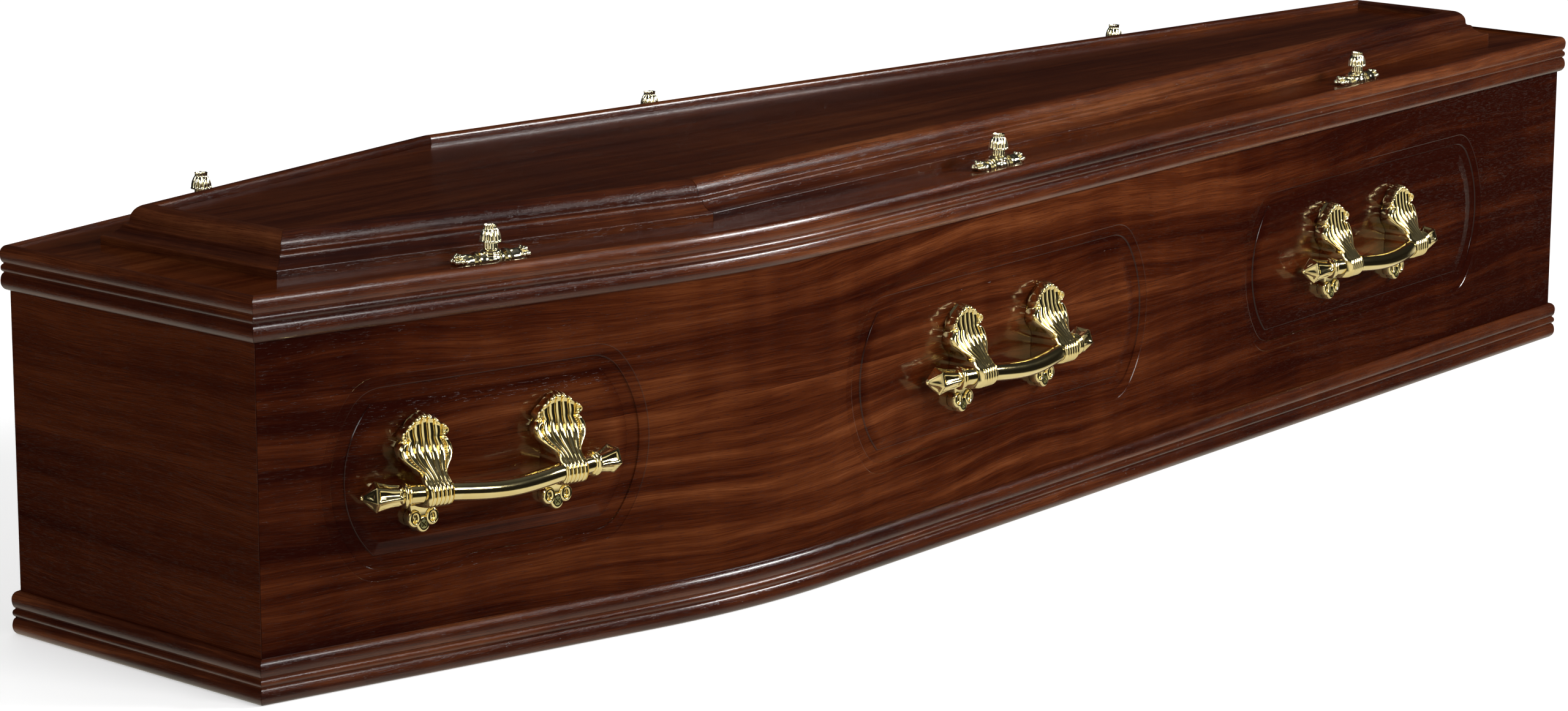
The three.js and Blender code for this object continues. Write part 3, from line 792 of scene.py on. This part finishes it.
def channel_cutter(half):
    """The cutter of one panel's channel, in the face's own plane: X along, Y up, Z outwards."""
    inner = CHANNEL_WIDTH + BEVEL_WIDTH
    outer_side = (
        (10.0, 1.0), (10.0, 0.0), (9.5, -0.45), (5.0, -0.75),
        (0.9, -0.9), (0.2, -1.15), (-0.1, -1.8), (-0.4, -2.2),
    )
    inner_side = (
        (-CHANNEL_WIDTH + 0.3, -CHANNEL_DEPTH), (-CHANNEL_WIDTH, -1.5),
        (-CHANNEL_WIDTH - 0.5, -1.05), (-inner + 0.6, -0.12), (-inner, 0.0), (-inner, 1.0),
    )
    section = [(*point, ROUNDED_CUT) for point in outer_side]
    section += [(*point, SHARP_CUT) for point in inner_side]
    loops = []
    for out, height, cut in section:
        outline = panel_outline(half, out, cut)
        loops.append(np.column_stack((outline, np.full(len(outline), height))))
    count = len(loops[0])
    faces = []
    for loop in range(len(loops)):
        other = (loop + 1) % len(loops)
        for i in range(count):
            j = (i + 1) % count
            faces.append((loop * count + i, loop * count + j, other * count + j, other * count + i))
    return np.vstack(loops), faces


def cut_from(mesh, cutters):
    """The mesh with each cutter's mesh taken away."""
    holder = new_object("being_cut", mesh)
    tools = []
    for index, cutter in enumerate(cutters):
        tool = new_object(f"cutter_{index}", cutter)
        step = holder.modifiers.new(tool.name, "BOOLEAN")
        step.operation = "DIFFERENCE"
        step.solver = "EXACT"
        step.object = tool
        tools.append(tool)
    bpy.context.view_layer.update()
    graph = bpy.context.evaluated_depsgraph_get()
    result = bpy.data.meshes.new_from_object(holder.evaluated_get(graph))
    for old in (holder, *tools):
        bpy.data.objects.remove(old)
    return result


def mark_channels(mesh):
    """Gives each point of the channels its share of the painted shade, by how deep it lies."""
    points = np.array([v.co for v in mesh.vertices]) / MM
    outline = left_side(0.0)
    face = np.interp(points[:, 0], outline[:, 0], outline[:, 1])
    depth = face - np.abs(points[:, 1])
    shares = np.interp(depth, *np.array(PAINTED_SHADE_AT_DEPTH).T)
    routed = np.where(depth < CHANNEL_DEPTH * 1.5, shares, 0)
    set_values(mesh, "routed", "FLOAT", "value", routed)


def add_side_board(side):
    top = WALL_HEIGHT - FIT_GAP
    section = np.array(((-WALL_THICKNESS, 0), (0, 0), (0, top), (-WALL_THICKNESS, top)))
    right = side == "right"

    def route(out):
        path = left_side(out, FIT_GAP)
        return mirrored(path) if right else path

    plain, _ = swept(section, route, 0.0)
    cutters = []
    for x, half in zip(PANEL_X, PANEL_HALVES):
        points, faces = channel_cutter(half)
        upright = points[:, (0, 2, 1)] * (1, -1, 1)
        placed = stood(upright, *place_on_side(x, right, 0.0), PANEL_CENTRE_HEIGHT)
        cutters.append(new_mesh("channel", (placed, faces), 30))
    mesh = cut_from(new_mesh("side", plain, 30), cutters)
    mesh.shade_smooth()
    mesh.set_sharp_from_angle(angle=math.radians(SIDE_SHARP))
    mark_channels(mesh)
    piece = add_piece(f"{side}_side_routed", mesh, SIDE_VENEER, [f"{side}_side_board"])
    soften_edges(piece)
    even = piece.modifiers.new("even_shading", "WEIGHTED_NORMAL")
    even.keep_sharp = True


# Handles, in a frame on the side's face: X along, -Y outwards, Z above the clasps

SIDES = (("left", False), ("right", True))


def bar_axis(along):
    """Points of the bar's bowed middle line."""
    along = np.asarray(along, float)
    out = BAR_STAND_OFF - BAR_BOW * (along / BAR_HALF_LENGTH) ** 2
    inside = np.minimum(np.abs(along) / CLASP_AT, 1)
    return np.column_stack((along, -out, -BAR_DROOP * (1 - inside ** 2) ** 2))


def bar_ring(along, angles, reach):
    """A ring of points square to the bar; angle 0 faces outwards and a quarter turn faces up."""
    here, before, after = bar_axis([along, along - 0.5, along + 0.5])
    tangent = (after - before) / np.linalg.norm(after - before)
    outwards = np.cross((0, 0, 1), tangent) * -1
    outwards /= np.linalg.norm(outwards)
    upwards = np.cross(tangent, outwards) * -1
    sideways = np.outer(reach * np.cos(angles), outwards)
    return here + sideways + np.outer(reach * np.sin(angles), upwards)


# Where a finial's face is cut, as shares from its middle to its edge
FACE_SHARES = np.array((0, 0.3, 0.52, 0.64, 0.70, 0.755, 0.81, 0.87, 0.94))


def faceted_angles():
    """Angles round the bar, closer together by each edge of the six-sided finial."""
    half_face = math.pi / FINIAL_SIDES
    shares = np.concatenate((-FACE_SHARES[:0:-1], FACE_SHARES, (1.0,)))
    turns = [side * 2 * half_face for side in range(FINIAL_SIDES)]
    return np.concatenate([turn + shares * half_face for turn in turns])


def finial_reach(along, angles):
    """The finial's radius: a flared six-sided horn with a sunk, bead-edged face on each side."""
    half_face = math.pi / FINIAL_SIDES
    local = (angles + half_face) % (2 * half_face) - half_face
    share = (along - COLLAR_TO) / (FINIAL_WIDEST - COLLAR_TO)
    if share <= 1:
        vertex = FINIAL_NECK + (FINIAL_RADIUS - FINIAL_NECK) * max(share, 0.0) ** 1.8
    else:
        fall = (along - FINIAL_WIDEST) / (BAR_HALF_LENGTH - FINIAL_WIDEST)
        vertex = FINIAL_RADIUS + (2.2 - FINIAL_RADIUS) * min(fall, 1.0) ** 1.1
    facet = vertex * math.cos(half_face) / np.cos(local)
    squareness = stepped(along, COLLAR_TO - 0.5, COLLAR_TO + 3.0)
    reach = vertex * 0.96 + (facet - vertex * 0.96) * squareness
    width = vertex * math.sin(half_face)
    from_side = (1 - np.abs(np.tan(local) / math.tan(half_face))) * width
    to_end = FINIAL_WIDEST - along
    sunk = stepped(from_side, 1.5, 2.3) * stepped(along, COLLAR_TO + 1.0, COLLAR_TO + 2.6)
    sunk = sunk * stepped(to_end, 1.5, 2.7)
    middle = np.clip((from_side - 1.5) / max(width - 1.5, 1.0), 0, 1)
    bead = np.exp(-((from_side - 2.7) / 0.4) ** 2) * abs(math.sin(math.pi * along / 1.25))
    bead = bead * stepped(along, COLLAR_TO + 4, COLLAR_TO + 5) * stepped(to_end, 3, 5)
    hollow = stepped(from_side, 2.0, 3.4) * stepped(along, FINIAL_WIDEST + 1.6, FINIAL_WIDEST + 2.8)
    hollow = hollow * stepped(-along, -BAR_HALF_LENGTH + 2.0, -BAR_HALF_LENGTH + 3.6)
    return reach - sunk * (0.9 + 0.5 * middle) + bead * 0.4 - hollow * 0.6


def collar_reach(along):
    """The bar's own radius, with two turned rings by each finial."""
    place = abs(along)
    big = max(0.0, 1 - ((place - 92.4) / 2.1) ** 2) ** 0.5 * 2.9
    small = max(0.0, 1 - ((place - 89.2) / 1.1) ** 2) ** 0.5 * 1.5
    return BAR_RADIUS + max(big, small)


def handle_bar():
    angles = faceted_angles()
    tip = BAR_HALF_LENGTH - 0.4
    half = np.concatenate((
        np.linspace(0, COLLAR_FROM - 0.4, 16),
        np.linspace(COLLAR_FROM, COLLAR_TO + 0.2, 20),
        np.arange(COLLAR_TO + 0.4, FINIAL_WIDEST, 0.50),
        np.linspace(FINIAL_WIDEST, tip, 18),
    ))
    rings = []
    for along in np.concatenate((-half[:0:-1], half)):
        if abs(along) > COLLAR_TO + 0.3:
            reach = finial_reach(abs(along), angles)
        else:
            reach = np.full(len(angles), collar_reach(along))
        rings.append(bar_ring(along, angles + FINIAL_TURN, reach))
    tips = [ball(bar_axis([side * tip])[0], TIP_RADIUS) for side in (-1, 1)]
    return gathered([lofted(rings), *tips])


def clasp_bore():
    """The room for the bar in a clasp."""
    angles = np.linspace(0, 2 * math.pi, 32, endpoint=False)
    places = np.linspace(BORE_FROM, BORE_TO, 14)
    return lofted([bar_ring(along, angles, BAR_RADIUS + BORE_GAP) for along in places])


# The plate, from the tab up over the bar to the shell's edge
CLASP_OUT = BAR_STAND_OFF - BAR_BOW * (CLASP_AT / BAR_HALF_LENGTH) ** 2
# Its half width at each height
PLATE_HALF_WIDTHS = (
    (-34, 5.0), (-30, 8.0), (-24, 10.4), (-18, 12.0), (-12, 13.4), (-6, 13.9), (0, 14.0), (6, 13.8),
    (10, 13.0), (13, 12.7), (16, 13.8), (20, 17.6), (24, 22.2), (28, 25.2), (32, 26.2), (36, 25.2),
    (39, 23.2), (41.2, 21.8), (43.5, 22.8), (46, 23.6), (49, 23.4), (53, 22.2), (58, 20.0), (64, 17.5),
)
# How far it stands out below the clasp at each height, and up the shell at each share of its height
BELOW_CLASP = (
    (-34, 5.0), (-33.4, 6.6), (-32, 7.4), (-24, 7.8), (-15, 8.4),
    (-13.4, 9.4), (-12.6, 11.0), (-12.3, 14), (-12.1, 21),
)
UP_THE_SHELL = (
    (0, 32.6), (0.06, 29.6), (0.14, 25.4), (0.24, 20.8), (0.36, 17.0),
    (0.5, 14.2), (0.66, 12.6), (0.82, 11.8), (0.92, 11.8), (1.0, 11.0),
)
SHELL_LOBES = 7
SHELL_FOOT = 13.0
SHELL_TOP = 60.4
SHELL_FALL = 15.6
LOBE_RISE = 3.6
# Share of the half width that the five ribs take, inside the leaves
INNER_RIBS = 5 / 7
RIB_LEVEL = 0.8
RIB_DEPTH = 2.1
NOTCH_HEIGHT = 41.4
PEARL_RADIUS = 0.8
PEARL_PITCH = 1.75


def plate_centre_line():
    """How far the plate's middle stands out: below the clasp, round it, and up the shell."""
    angles = np.radians(np.linspace(-92, 58, 24))
    outs = CLASP_OUT + CLASP_RADIUS * np.cos(angles)
    clasp = np.column_stack((CLASP_RADIUS * np.sin(angles), outs))
    shares = np.linspace(0, 1, 54)
    shell = np.column_stack((shares, curve_through(UP_THE_SHELL, shares)))
    return BELOW_CLASP, clasp, shell


def rib_of(across):
    """How high the rib stands at each place across the plate: 1 on its crest, 0 in the groove."""
    lobe = (across + 1) / 2 * SHELL_LOBES
    within = 2 * (lobe - np.floor(np.minimum(lobe, SHELL_LOBES - 1e-6))) - 1
    return np.clip(1 - np.abs(within) ** 2.4, 0, 1) ** 0.6


def handle_plate():
    """One casting: a shell of five ribs between two leaves, the waist, ridged clasp and stalk."""
    across = np.linspace(-1, 1, 99)
    from_middle = np.abs(across)
    rib = rib_of(across)
    leaf_side = stepped(from_middle, INNER_RIBS - 0.01, INNER_RIBS + 0.03)
    top = SHELL_TOP - SHELL_FALL * across ** 2 + LOBE_RISE * (rib - 0.2)
    below, clasp, shell = plate_centre_line()
    edge = np.sqrt(1 - np.clip((from_middle - 0.88) / 0.12, 0, 1) ** 2)
    shoulder = np.sqrt(1 - np.clip((from_middle - 0.66) / 0.34, 0, 1) ** 2 * 0.92)
    rings = []

    def add_ring(heights, outs, rounding, side_share, back_share):
        """Adds a ring: its front, rounded off to the sides, and its back by the wall."""
        x = across * curve_through(PLATE_HALF_WIDTHS, heights)
        outs = outs * (side_share + (1 - side_share) * rounding)
        front = np.column_stack((CLASP_AT + x, -outs, heights))
        back_heights = np.minimum(heights, heights * 0.96 + 0.8)
        back = np.column_stack((CLASP_AT + x * back_share, np.full(len(x), -FIT_GAP), back_heights))
        rings.append(np.vstack((front, back[::-1])))

    flat = np.ones(len(across))
    for height, out in below:
        add_ring(flat * height, flat * out, edge, 0.7, 0.96)
    for height, out in clasp:
        ridges = (rib - RIB_LEVEL) * RIB_DEPTH * (1 - leaf_side)
        turn = stepped(height, CLASP_RADIUS * 0.3, CLASP_RADIUS)
        add_ring(flat * height, out + ridges, shoulder, 0.62 + 0.1 * turn, 0.84)
    for share, out in shell:
        heights = SHELL_FOOT + (top - SHELL_FOOT) * share
        deeper = RIB_DEPTH + 0.7 * stepped(share, 0.1, 0.5)
        ribs = (rib - RIB_LEVEL) * deeper * (1 - leaf_side)
        leaf = leaf_side * (1.2 + 0.9 * np.cos((from_middle - 0.87) / 0.13 * 1.3))
        leaf = leaf * stepped(heights, 13, 22)
        groove = np.exp(-((from_middle - INNER_RIBS) / 0.034) ** 2)
        groove = groove * stepped(heights, 14, 22) * stepped(-heights, -44, -41)
        notch = leaf_side * np.exp(-((heights - NOTCH_HEIGHT) / 1.2) ** 2)
        bulb = stepped(share, 0.84, 0.93) * rib
        tear = ((from_middle - 0.84) * 22 / 1.5) ** 2 + ((heights - 46.0) / 2.5) ** 2
        tear = np.exp(-tear ** 2)
        outs = out + ribs + leaf - groove * 2.0 - notch * 2.4 + bulb * 1.3 - tear * 2.6
        falling = np.sqrt(1 - np.clip((share - 0.93) / 0.07, 0, 1) ** 2)
        outs = outs * (0.40 + 0.60 * falling)
        rounding = shoulder + (edge - shoulder) * stepped(share, 0.05, 0.35)
        add_ring(heights, outs, rounding, 0.62, 0.88)
    return lofted(rings)


def pearls():
    """Rows of small beads down both borders of the shell."""
    made = []
    *_, shell = plate_centre_line()
    for side in (-1, 1):
        for height in np.arange(16.0, 40, PEARL_PITCH):
            share = (height - SHELL_FOOT) / (SHELL_TOP - SHELL_FALL * INNER_RIBS ** 2 - SHELL_FOOT)
            out = np.interp(share, *shell.T)
            half = curve_through(PLATE_HALF_WIDTHS, np.array([height]))[0]
            centre = (CLASP_AT + side * INNER_RIBS * half, -(out - 1.5), height)
            made.append(ball(centre, PEARL_RADIUS, 5, 8))
    return made


# Each lobe of the tab: across and up, half width and height, thickness and depth of dimple
TAB_LOBES = (
    (-8.4, -25.6, 6.6, 7.8, 9.6, 0.3),
    (8.4, -25.6, 6.6, 7.8, 9.6, 0.3),
    (0.0, -31.0, 6.6, 7.6, 8.8, 0.0),
)
SCREW_HEIGHT = -31.2
SCREW_OUT = 8.8
SCREW_RADIUS = 4.1


def domed_pad(x, z, half_x, half_z, thickness, dimple):
    """A rounded lobe of the tab, with an upright oval dimple."""
    profile = (
        (0.001, 0), (0.95, 0), (1.0, 0.2), (1.0, 0.60), (0.97, 0.78), (0.90, 0.92), (0.78, 1.0),
        (0.66, 1.02), (0.56, 1.0), (0.46, 1.0 - dimple * 0.5), (0.32, 1.0 - dimple),
        (0.001, 1.0 - dimple),
    )
    angles = np.linspace(0, 2 * math.pi, 28, endpoint=False)
    rings = []
    for reach, rise in profile:
        narrowing = 1 - 0.25 * stepped(-reach, -0.8, -0.5)
        rings.append(np.column_stack((
            x + half_x * reach * narrowing * np.cos(angles),
            np.full(len(angles), -FIT_GAP - rise * thickness),
            z + half_z * reach * np.sin(angles),
        )))
    return lofted(rings)


def screw_head():
    """A countersunk screw's head with a cross recess."""
    angles = np.linspace(0, 2 * math.pi, 48, endpoint=False)
    rings = []
    for reach in (SCREW_RADIUS, SCREW_RADIUS, 3.9, 3.4, 2.9, 2.5, 2.1, 1.7, 1.3, 0.9, 0.5, 0.05):
        px, pz = reach * np.cos(angles), reach * np.sin(angles)
        arm = np.minimum(np.abs(px + pz), np.abs(px - pz)) / math.sqrt(2)
        slot = (1 - stepped(arm, 0.35, 0.6)) * (1 - stepped(reach, 2.4, 2.9))
        rise = 0.0 if not rings else 0.75 * math.cos(reach / SCREW_RADIUS * 1.3)
        outs = SCREW_OUT + rise - slot * 1.1
        rings.append(np.column_stack((CLASP_AT + px, -outs, SCREW_HEIGHT + pz)))
    return lofted(rings)


def handle_tab():
    return [domed_pad(CLASP_AT + x, *lobe) for x, *lobe in TAB_LOBES]


def add_handles():
    bar_points, bar_faces = handle_bar()
    whole = cut_from(new_mesh("plate", handle_plate(), 40), [new_mesh("bore", clasp_bore(), 40)])
    plate_points = np.array([v.co for v in whole.vertices]) / MM
    plate_faces = [tuple(face.vertices) for face in whole.polygons]
    cast_points, cast_faces = gathered([(plate_points, plate_faces), *pearls(), *handle_tab()])
    screw_points, screw_faces = screw_head()
    for side, right in SIDES:
        for number, x in enumerate(HANDLE_X, 1):
            place = (*place_on_side(x, right, 0.0), HANDLE_HEIGHT)
            name = f"handle_{side}_{number}"
            bar = (stood(bar_points, *place), bar_faces)
            add_piece(f"{name}_bar", bar, BRASS, [f"handle_bar_{side}_{number}"], sharp=50)
            for end, flip in (("head", -1 if right else 1), ("foot", 1 if right else -1)):
                plate = (stood(cast_points * (flip, 1, 1), *place), cast_faces)
                node = f"handle_plate_{side}_{number}_{end}"
                add_piece(f"{name}_plate_{end}", plate, BRASS, [node], sharp=60)
                screw = (stood(screw_points * (flip, 1, 1), *place), screw_faces)
                add_piece(f"{name}_screw_{end}", screw, SCREW, [node], sharp=50)


# Wreath holders, in a frame on the ledge: X along the side, Z up

# Half width of a base at each place along it
POD_WIDTHS = (
    (0, 8.0), (8, 8.0), (11.0, 7.0), (12.2, 6.6), (12.6, 8.2), (14.2, 8.4), (14.6, 6.9), (15.2, 6.9),
    (15.6, 7.9), (16.8, 7.9), (17.2, 6.0), (20, 6.9), (25, 7.4), (29, 6.6), (33, 4.6),
)
# Centres of the berries at its ends
BERRIES = (
    (34.6, 0, 2.9), (32.0, 4.9, 2.7), (32.0, -4.9, 2.7), (34.9, 3.5, 2.4), (34.9, -3.5, 2.4),
    (31.4, 2.6, 6.5), (31.4, -2.6, 6.5), (34.2, 0, 6.0), (28.4, 5.8, 2.6), (28.4, -5.8, 2.6),
)
BERRY_RADIUS = 2.5
# Sections of the turned parts, as (radius, height)
BOSS = (
    (0.001, 0.05), (9.9, 0.05), (9.9, 2.0), (9.4, 3.6), (8.6, 4.6), (8.6, 5.0), (9.3, 5.4),
    (9.5, 5.9), (9.3, 6.4), (8.2, 6.8), (8.0, 7.1), (8.6, 7.5), (8.8, 8.1), (8.5, 8.7),
    (7.6, 9.2), (7.2, 9.5), (4.3, 9.5), (4.3, 3.5), (0.001, 3.5),
)
STEM = ((0.001, 3.8), (3.7, 3.8), (3.7, 9.8), (6.5, 9.8), (6.6, 10.4), (6.1, 10.6))
TULIP = (
    (6.1, 15.0), (6.9, 15.3), (8.4, 15.6), (9.3, 16.0), (9.4, 16.5), (9.1, 16.8), (9.0, 17.6),
    (8.95, 18.6), (8.8, 20.0), (8.45, 21.6), (7.9, 23.2), (7.2, 24.8), (6.6, 25.9), (6.1, 26.6),
    (5.75, 27.0), (5.6, 27.6), (5.6, 28.8), (5.75, 29.6), (5.9, 30.0), (5.2, 30.0), (4.7, 28.8),
    (4.4, 21.0), (0.001, 21.0),
)


def holder_base():
    """Two pods with rings and berry clusters, either side of a two-tier boss."""
    spans = ((0, 12, 1.0), (12, 17.6, 0.2), (18, 33.1, 0.7))
    half = np.concatenate([np.arange(*span) for span in spans])
    angles = np.linspace(0, math.pi, 21)
    rings = []
    for x in np.concatenate((-half[:0:-1], half)):
        width = np.interp(abs(x), *np.array(POD_WIDTHS).T)
        rings.append(np.column_stack((
            np.full(len(angles), x),
            width * np.cos(angles),
            width * 1.08 * np.sin(angles),
        )))
    shapes = [lofted(rings)]
    for end in (-1, 1):
        shapes += [ball((end * x, y, z), BERRY_RADIUS, 9, 14) for x, y, z in BERRIES]
    shapes.append(turned(BOSS, 48))
    return gathered(shapes)


def holder_cup():
    """Fluted stem and tulip cup, open at the top."""

    def flute(angles, height):
        """Share of the radius at each angle, less in the hollows of stem, tulip and rim."""
        if 10.5 < height < 15.1:
            depth = 0.09
        elif 16.7 < height < 26.7:
            depth = 0.16 * float(stepped(height, 16.4, 17.8))
        elif 26.9 < height < 29.9:
            depth = 0.10
        else:
            depth = 0.0
        return 1 - depth * (1 - np.abs(np.cos(angles * CUP_FLUTES / 2)) ** 0.8)

    return turned(STEM + TULIP, 192, flute)


def add_wreath_holders():
    parts = {"base": (*holder_base(), 40), "cup": (*holder_cup(), 45)}
    for side, right in SIDES:
        for number, x in enumerate(HOLDER_X[side], 1):
            place = (*place_on_side(x, right, -HOLDER_INSET), LEDGE_HEIGHT + FIT_GAP)
            for part, (points, faces, sharp) in parts.items():
                name = f"wreath_holder_{side}_{number}_{part}"
                node = f"wreath_holder_{part}_{side}_{number}"
                shape = (stood(points, *place), faces)
                add_piece(name, shape, PALE_BRASS, [node], sharp=sharp)


# Boards that keep the frame's own shape

BOARD_FINISHES = {
    "head_board": END_VENEER,
    "foot_board": END_VENEER,
    "lid_board": LID_VENEER,
    "raised_top_panel": PANEL_VENEER,
    "floor_board": BARE_BOARD,
}


def soften_edges(piece):
    """Joins a board's corners and rounds its square edges a little, to catch the light."""
    joined = piece.modifiers.new("joined", "WELD")
    joined.merge_threshold = WELD_REACH * MM
    round_over = piece.modifiers.new("edges", "BEVEL")
    round_over.width = EDGE_ROUND * MM
    round_over.segments = 3
    round_over.limit_method = "ANGLE"
    round_over.angle_limit = math.radians(SQUARE_EDGE)
    round_over.harden_normals = True


def finish_boards():
    for name, finish in BOARD_FINISHES.items():
        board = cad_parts[name]
        board.data.materials.clear()
        board.data.materials.append(finish)
        soften_edges(board)


# Floor, light and backdrop

FLOOR_REACH = 14.0
PAPER_TONE = 0.8
# The paper's own glow close to the coffin and far away, and where it changes: the dimmer glow near the
# coffin is a painted soft shadow
NEAR_GLOW = 0.38
FAR_GLOW = 0.66
GLOW_FROM = 0.4
GLOW_TO = 2.0
DAYLIGHT = 0.42
# What polished surfaces see of the room, by the height of the direction they look in
ROOM_TONES = (
    (-1.0, (0.66, 0.62, 0.52)),
    (-0.50, (0.80, 0.76, 0.64)),
    (-0.36, (0.018, 0.016, 0.013)),
    (0.10, (0.010, 0.009, 0.009)),
    (0.70, (0.022, 0.022, 0.022)),
    (1.0, (0.12, 0.12, 0.12)),
)
# The same towards two pale walls, beyond the foot end and behind the camera
WALL_TONES = (
    (-1.0, (0.70, 0.66, 0.55)),
    (-0.40, (0.88, 0.84, 0.70)),
    (0.10, (0.80, 0.76, 0.64)),
    (0.34, (0.30, 0.28, 0.24)),
    (0.50, (0.022, 0.022, 0.022)),
    (1.0, (0.12, 0.12, 0.12)),
)
# Each wall's direction, and how nearly a ray points there where the wall begins and is full
WALLS = (((0.996, 0.087, 0.0), (0.925, 0.965)), ((-0.80, -0.60, 0.0), (0.80, 0.90)))
# Each softbox: name, place, what it is aimed at, width and height in metres, and power in watts
SOFTBOXES = (
    ("key", (1.45, -2.00, 1.62), (-0.47, -0.25, 0.3), (1.2, 0.4), 86),
    ("front", (-0.50, -2.35, 1.30), (-0.35, -0.2, 0.17), (1.1, 0.5), 28),
    ("head", (-3.4, -0.3, 1.9), (-0.9, 0, 0.2), (1.2, 0.8), 26),
    ("overhead", (-0.4, 0.5, 3.0), (0, 0, 0.3), (2.0, 0.6), 10),
)


def add_floor():
    """A pale floor that glows faintly, more so further out, painting a soft shadow near the coffin,
    and isn't mirrored.
    """
    mesh = bpy.data.meshes.new("floor")
    far = FLOOR_REACH
    corners = [(-far, -far, 0), (far, -far, 0), (far, far, 0), (-far, far, 0)]
    mesh.from_pydata(corners, [], [(0, 1, 2, 3)])
    floor = new_object("floor", mesh)
    paper = Finish("pale_paper")
    x, y, _ = paper.split(paper.place())
    away = paper.between((x * x * 0.25 + y * y) ** 0.5, GLOW_FROM, GLOW_TO)
    mesh.materials.append(paper.shade(
        Base_Color=(PAPER_TONE, PAPER_TONE, PAPER_TONE, 1),
        Roughness=0.9,
        Specular_IOR_Level=0.1,
        # Painted soft shadow: the glow is dimmer close to the coffin
        Emission_Color=paper.mixed(away, (NEAR_GLOW,) * 3, (FAR_GLOW,) * 3),
        Emission_Strength=1,
    ))
    floor.visible_glossy = False


def add_softbox(name, place, target, size, power):
    data = bpy.data.lights.new(name, "AREA")
    data.shape = "RECTANGLE"
    data.size, data.size_y = size
    data.energy = power
    light = new_object(name, data)
    light.location = place
    light.rotation_euler = (Vector(target) - Vector(place)).to_track_quat("-Z", "Y").to_euler()


def add_world():
    """Even pale light, but polished surfaces see a dim room with a pale floor and two pale walls.

    It isn't sampled as a light, since that would lay a grey haze on the lacquer.
    """
    world = bpy.data.worlds.new("studio")
    tree = Tree(world)
    way = tree.node("ShaderNodeTexCoord", output="Generated")
    height = tree.split(way)[2] * 0.5 + 0.5
    tones = []
    for table in (ROOM_TONES, WALL_TONES):
        tones.append(tree.ramp(height, [((level + 1) / 2, tone) for level, tone in table]))
    walls = []
    for direction, (begins, full) in WALLS:
        settings = {"operation": "DOT_PRODUCT"}
        towards = tree.node("ShaderNodeVectorMath", settings, {0: way, 1: direction}, "Value")
        walls.append(tree.between(towards, begins, full))
    nearest = walls[0].maths("MAXIMUM", *walls)
    room = tree.node("ShaderNodeBackground", None, {"Color": tree.mixed(nearest, *tones)})
    even = tree.node("ShaderNodeBackground", None, {"Color": (1, 1, 1, 1), "Strength": DAYLIGHT})
    glossy = tree.node("ShaderNodeLightPath", output="Is Glossy Ray")
    chosen = tree.node("ShaderNodeMixShader", None, {0: glossy, 1: even, 2: room})
    output = tree.nodes.new("ShaderNodeOutputWorld")
    tree.links.new(chosen.socket, output.inputs["Surface"])
    world.cycles.sampling_method = "NONE"
    bpy.context.scene.world = world


finish_boards()
add_mouldings("base", 0.0, 1.0)
add_mouldings("lid", LID_MOULDING_BOTTOM, 11.0)
add_raised_frame()
for board_side in ("left", "right"):
    add_side_board(board_side)
add_handles()
add_wreath_holders()
add_floor()
add_world()
for softbox in SOFTBOXES:
    add_softbox(*softbox)
bpy.context.scene.view_settings.view_transform = "Standard"
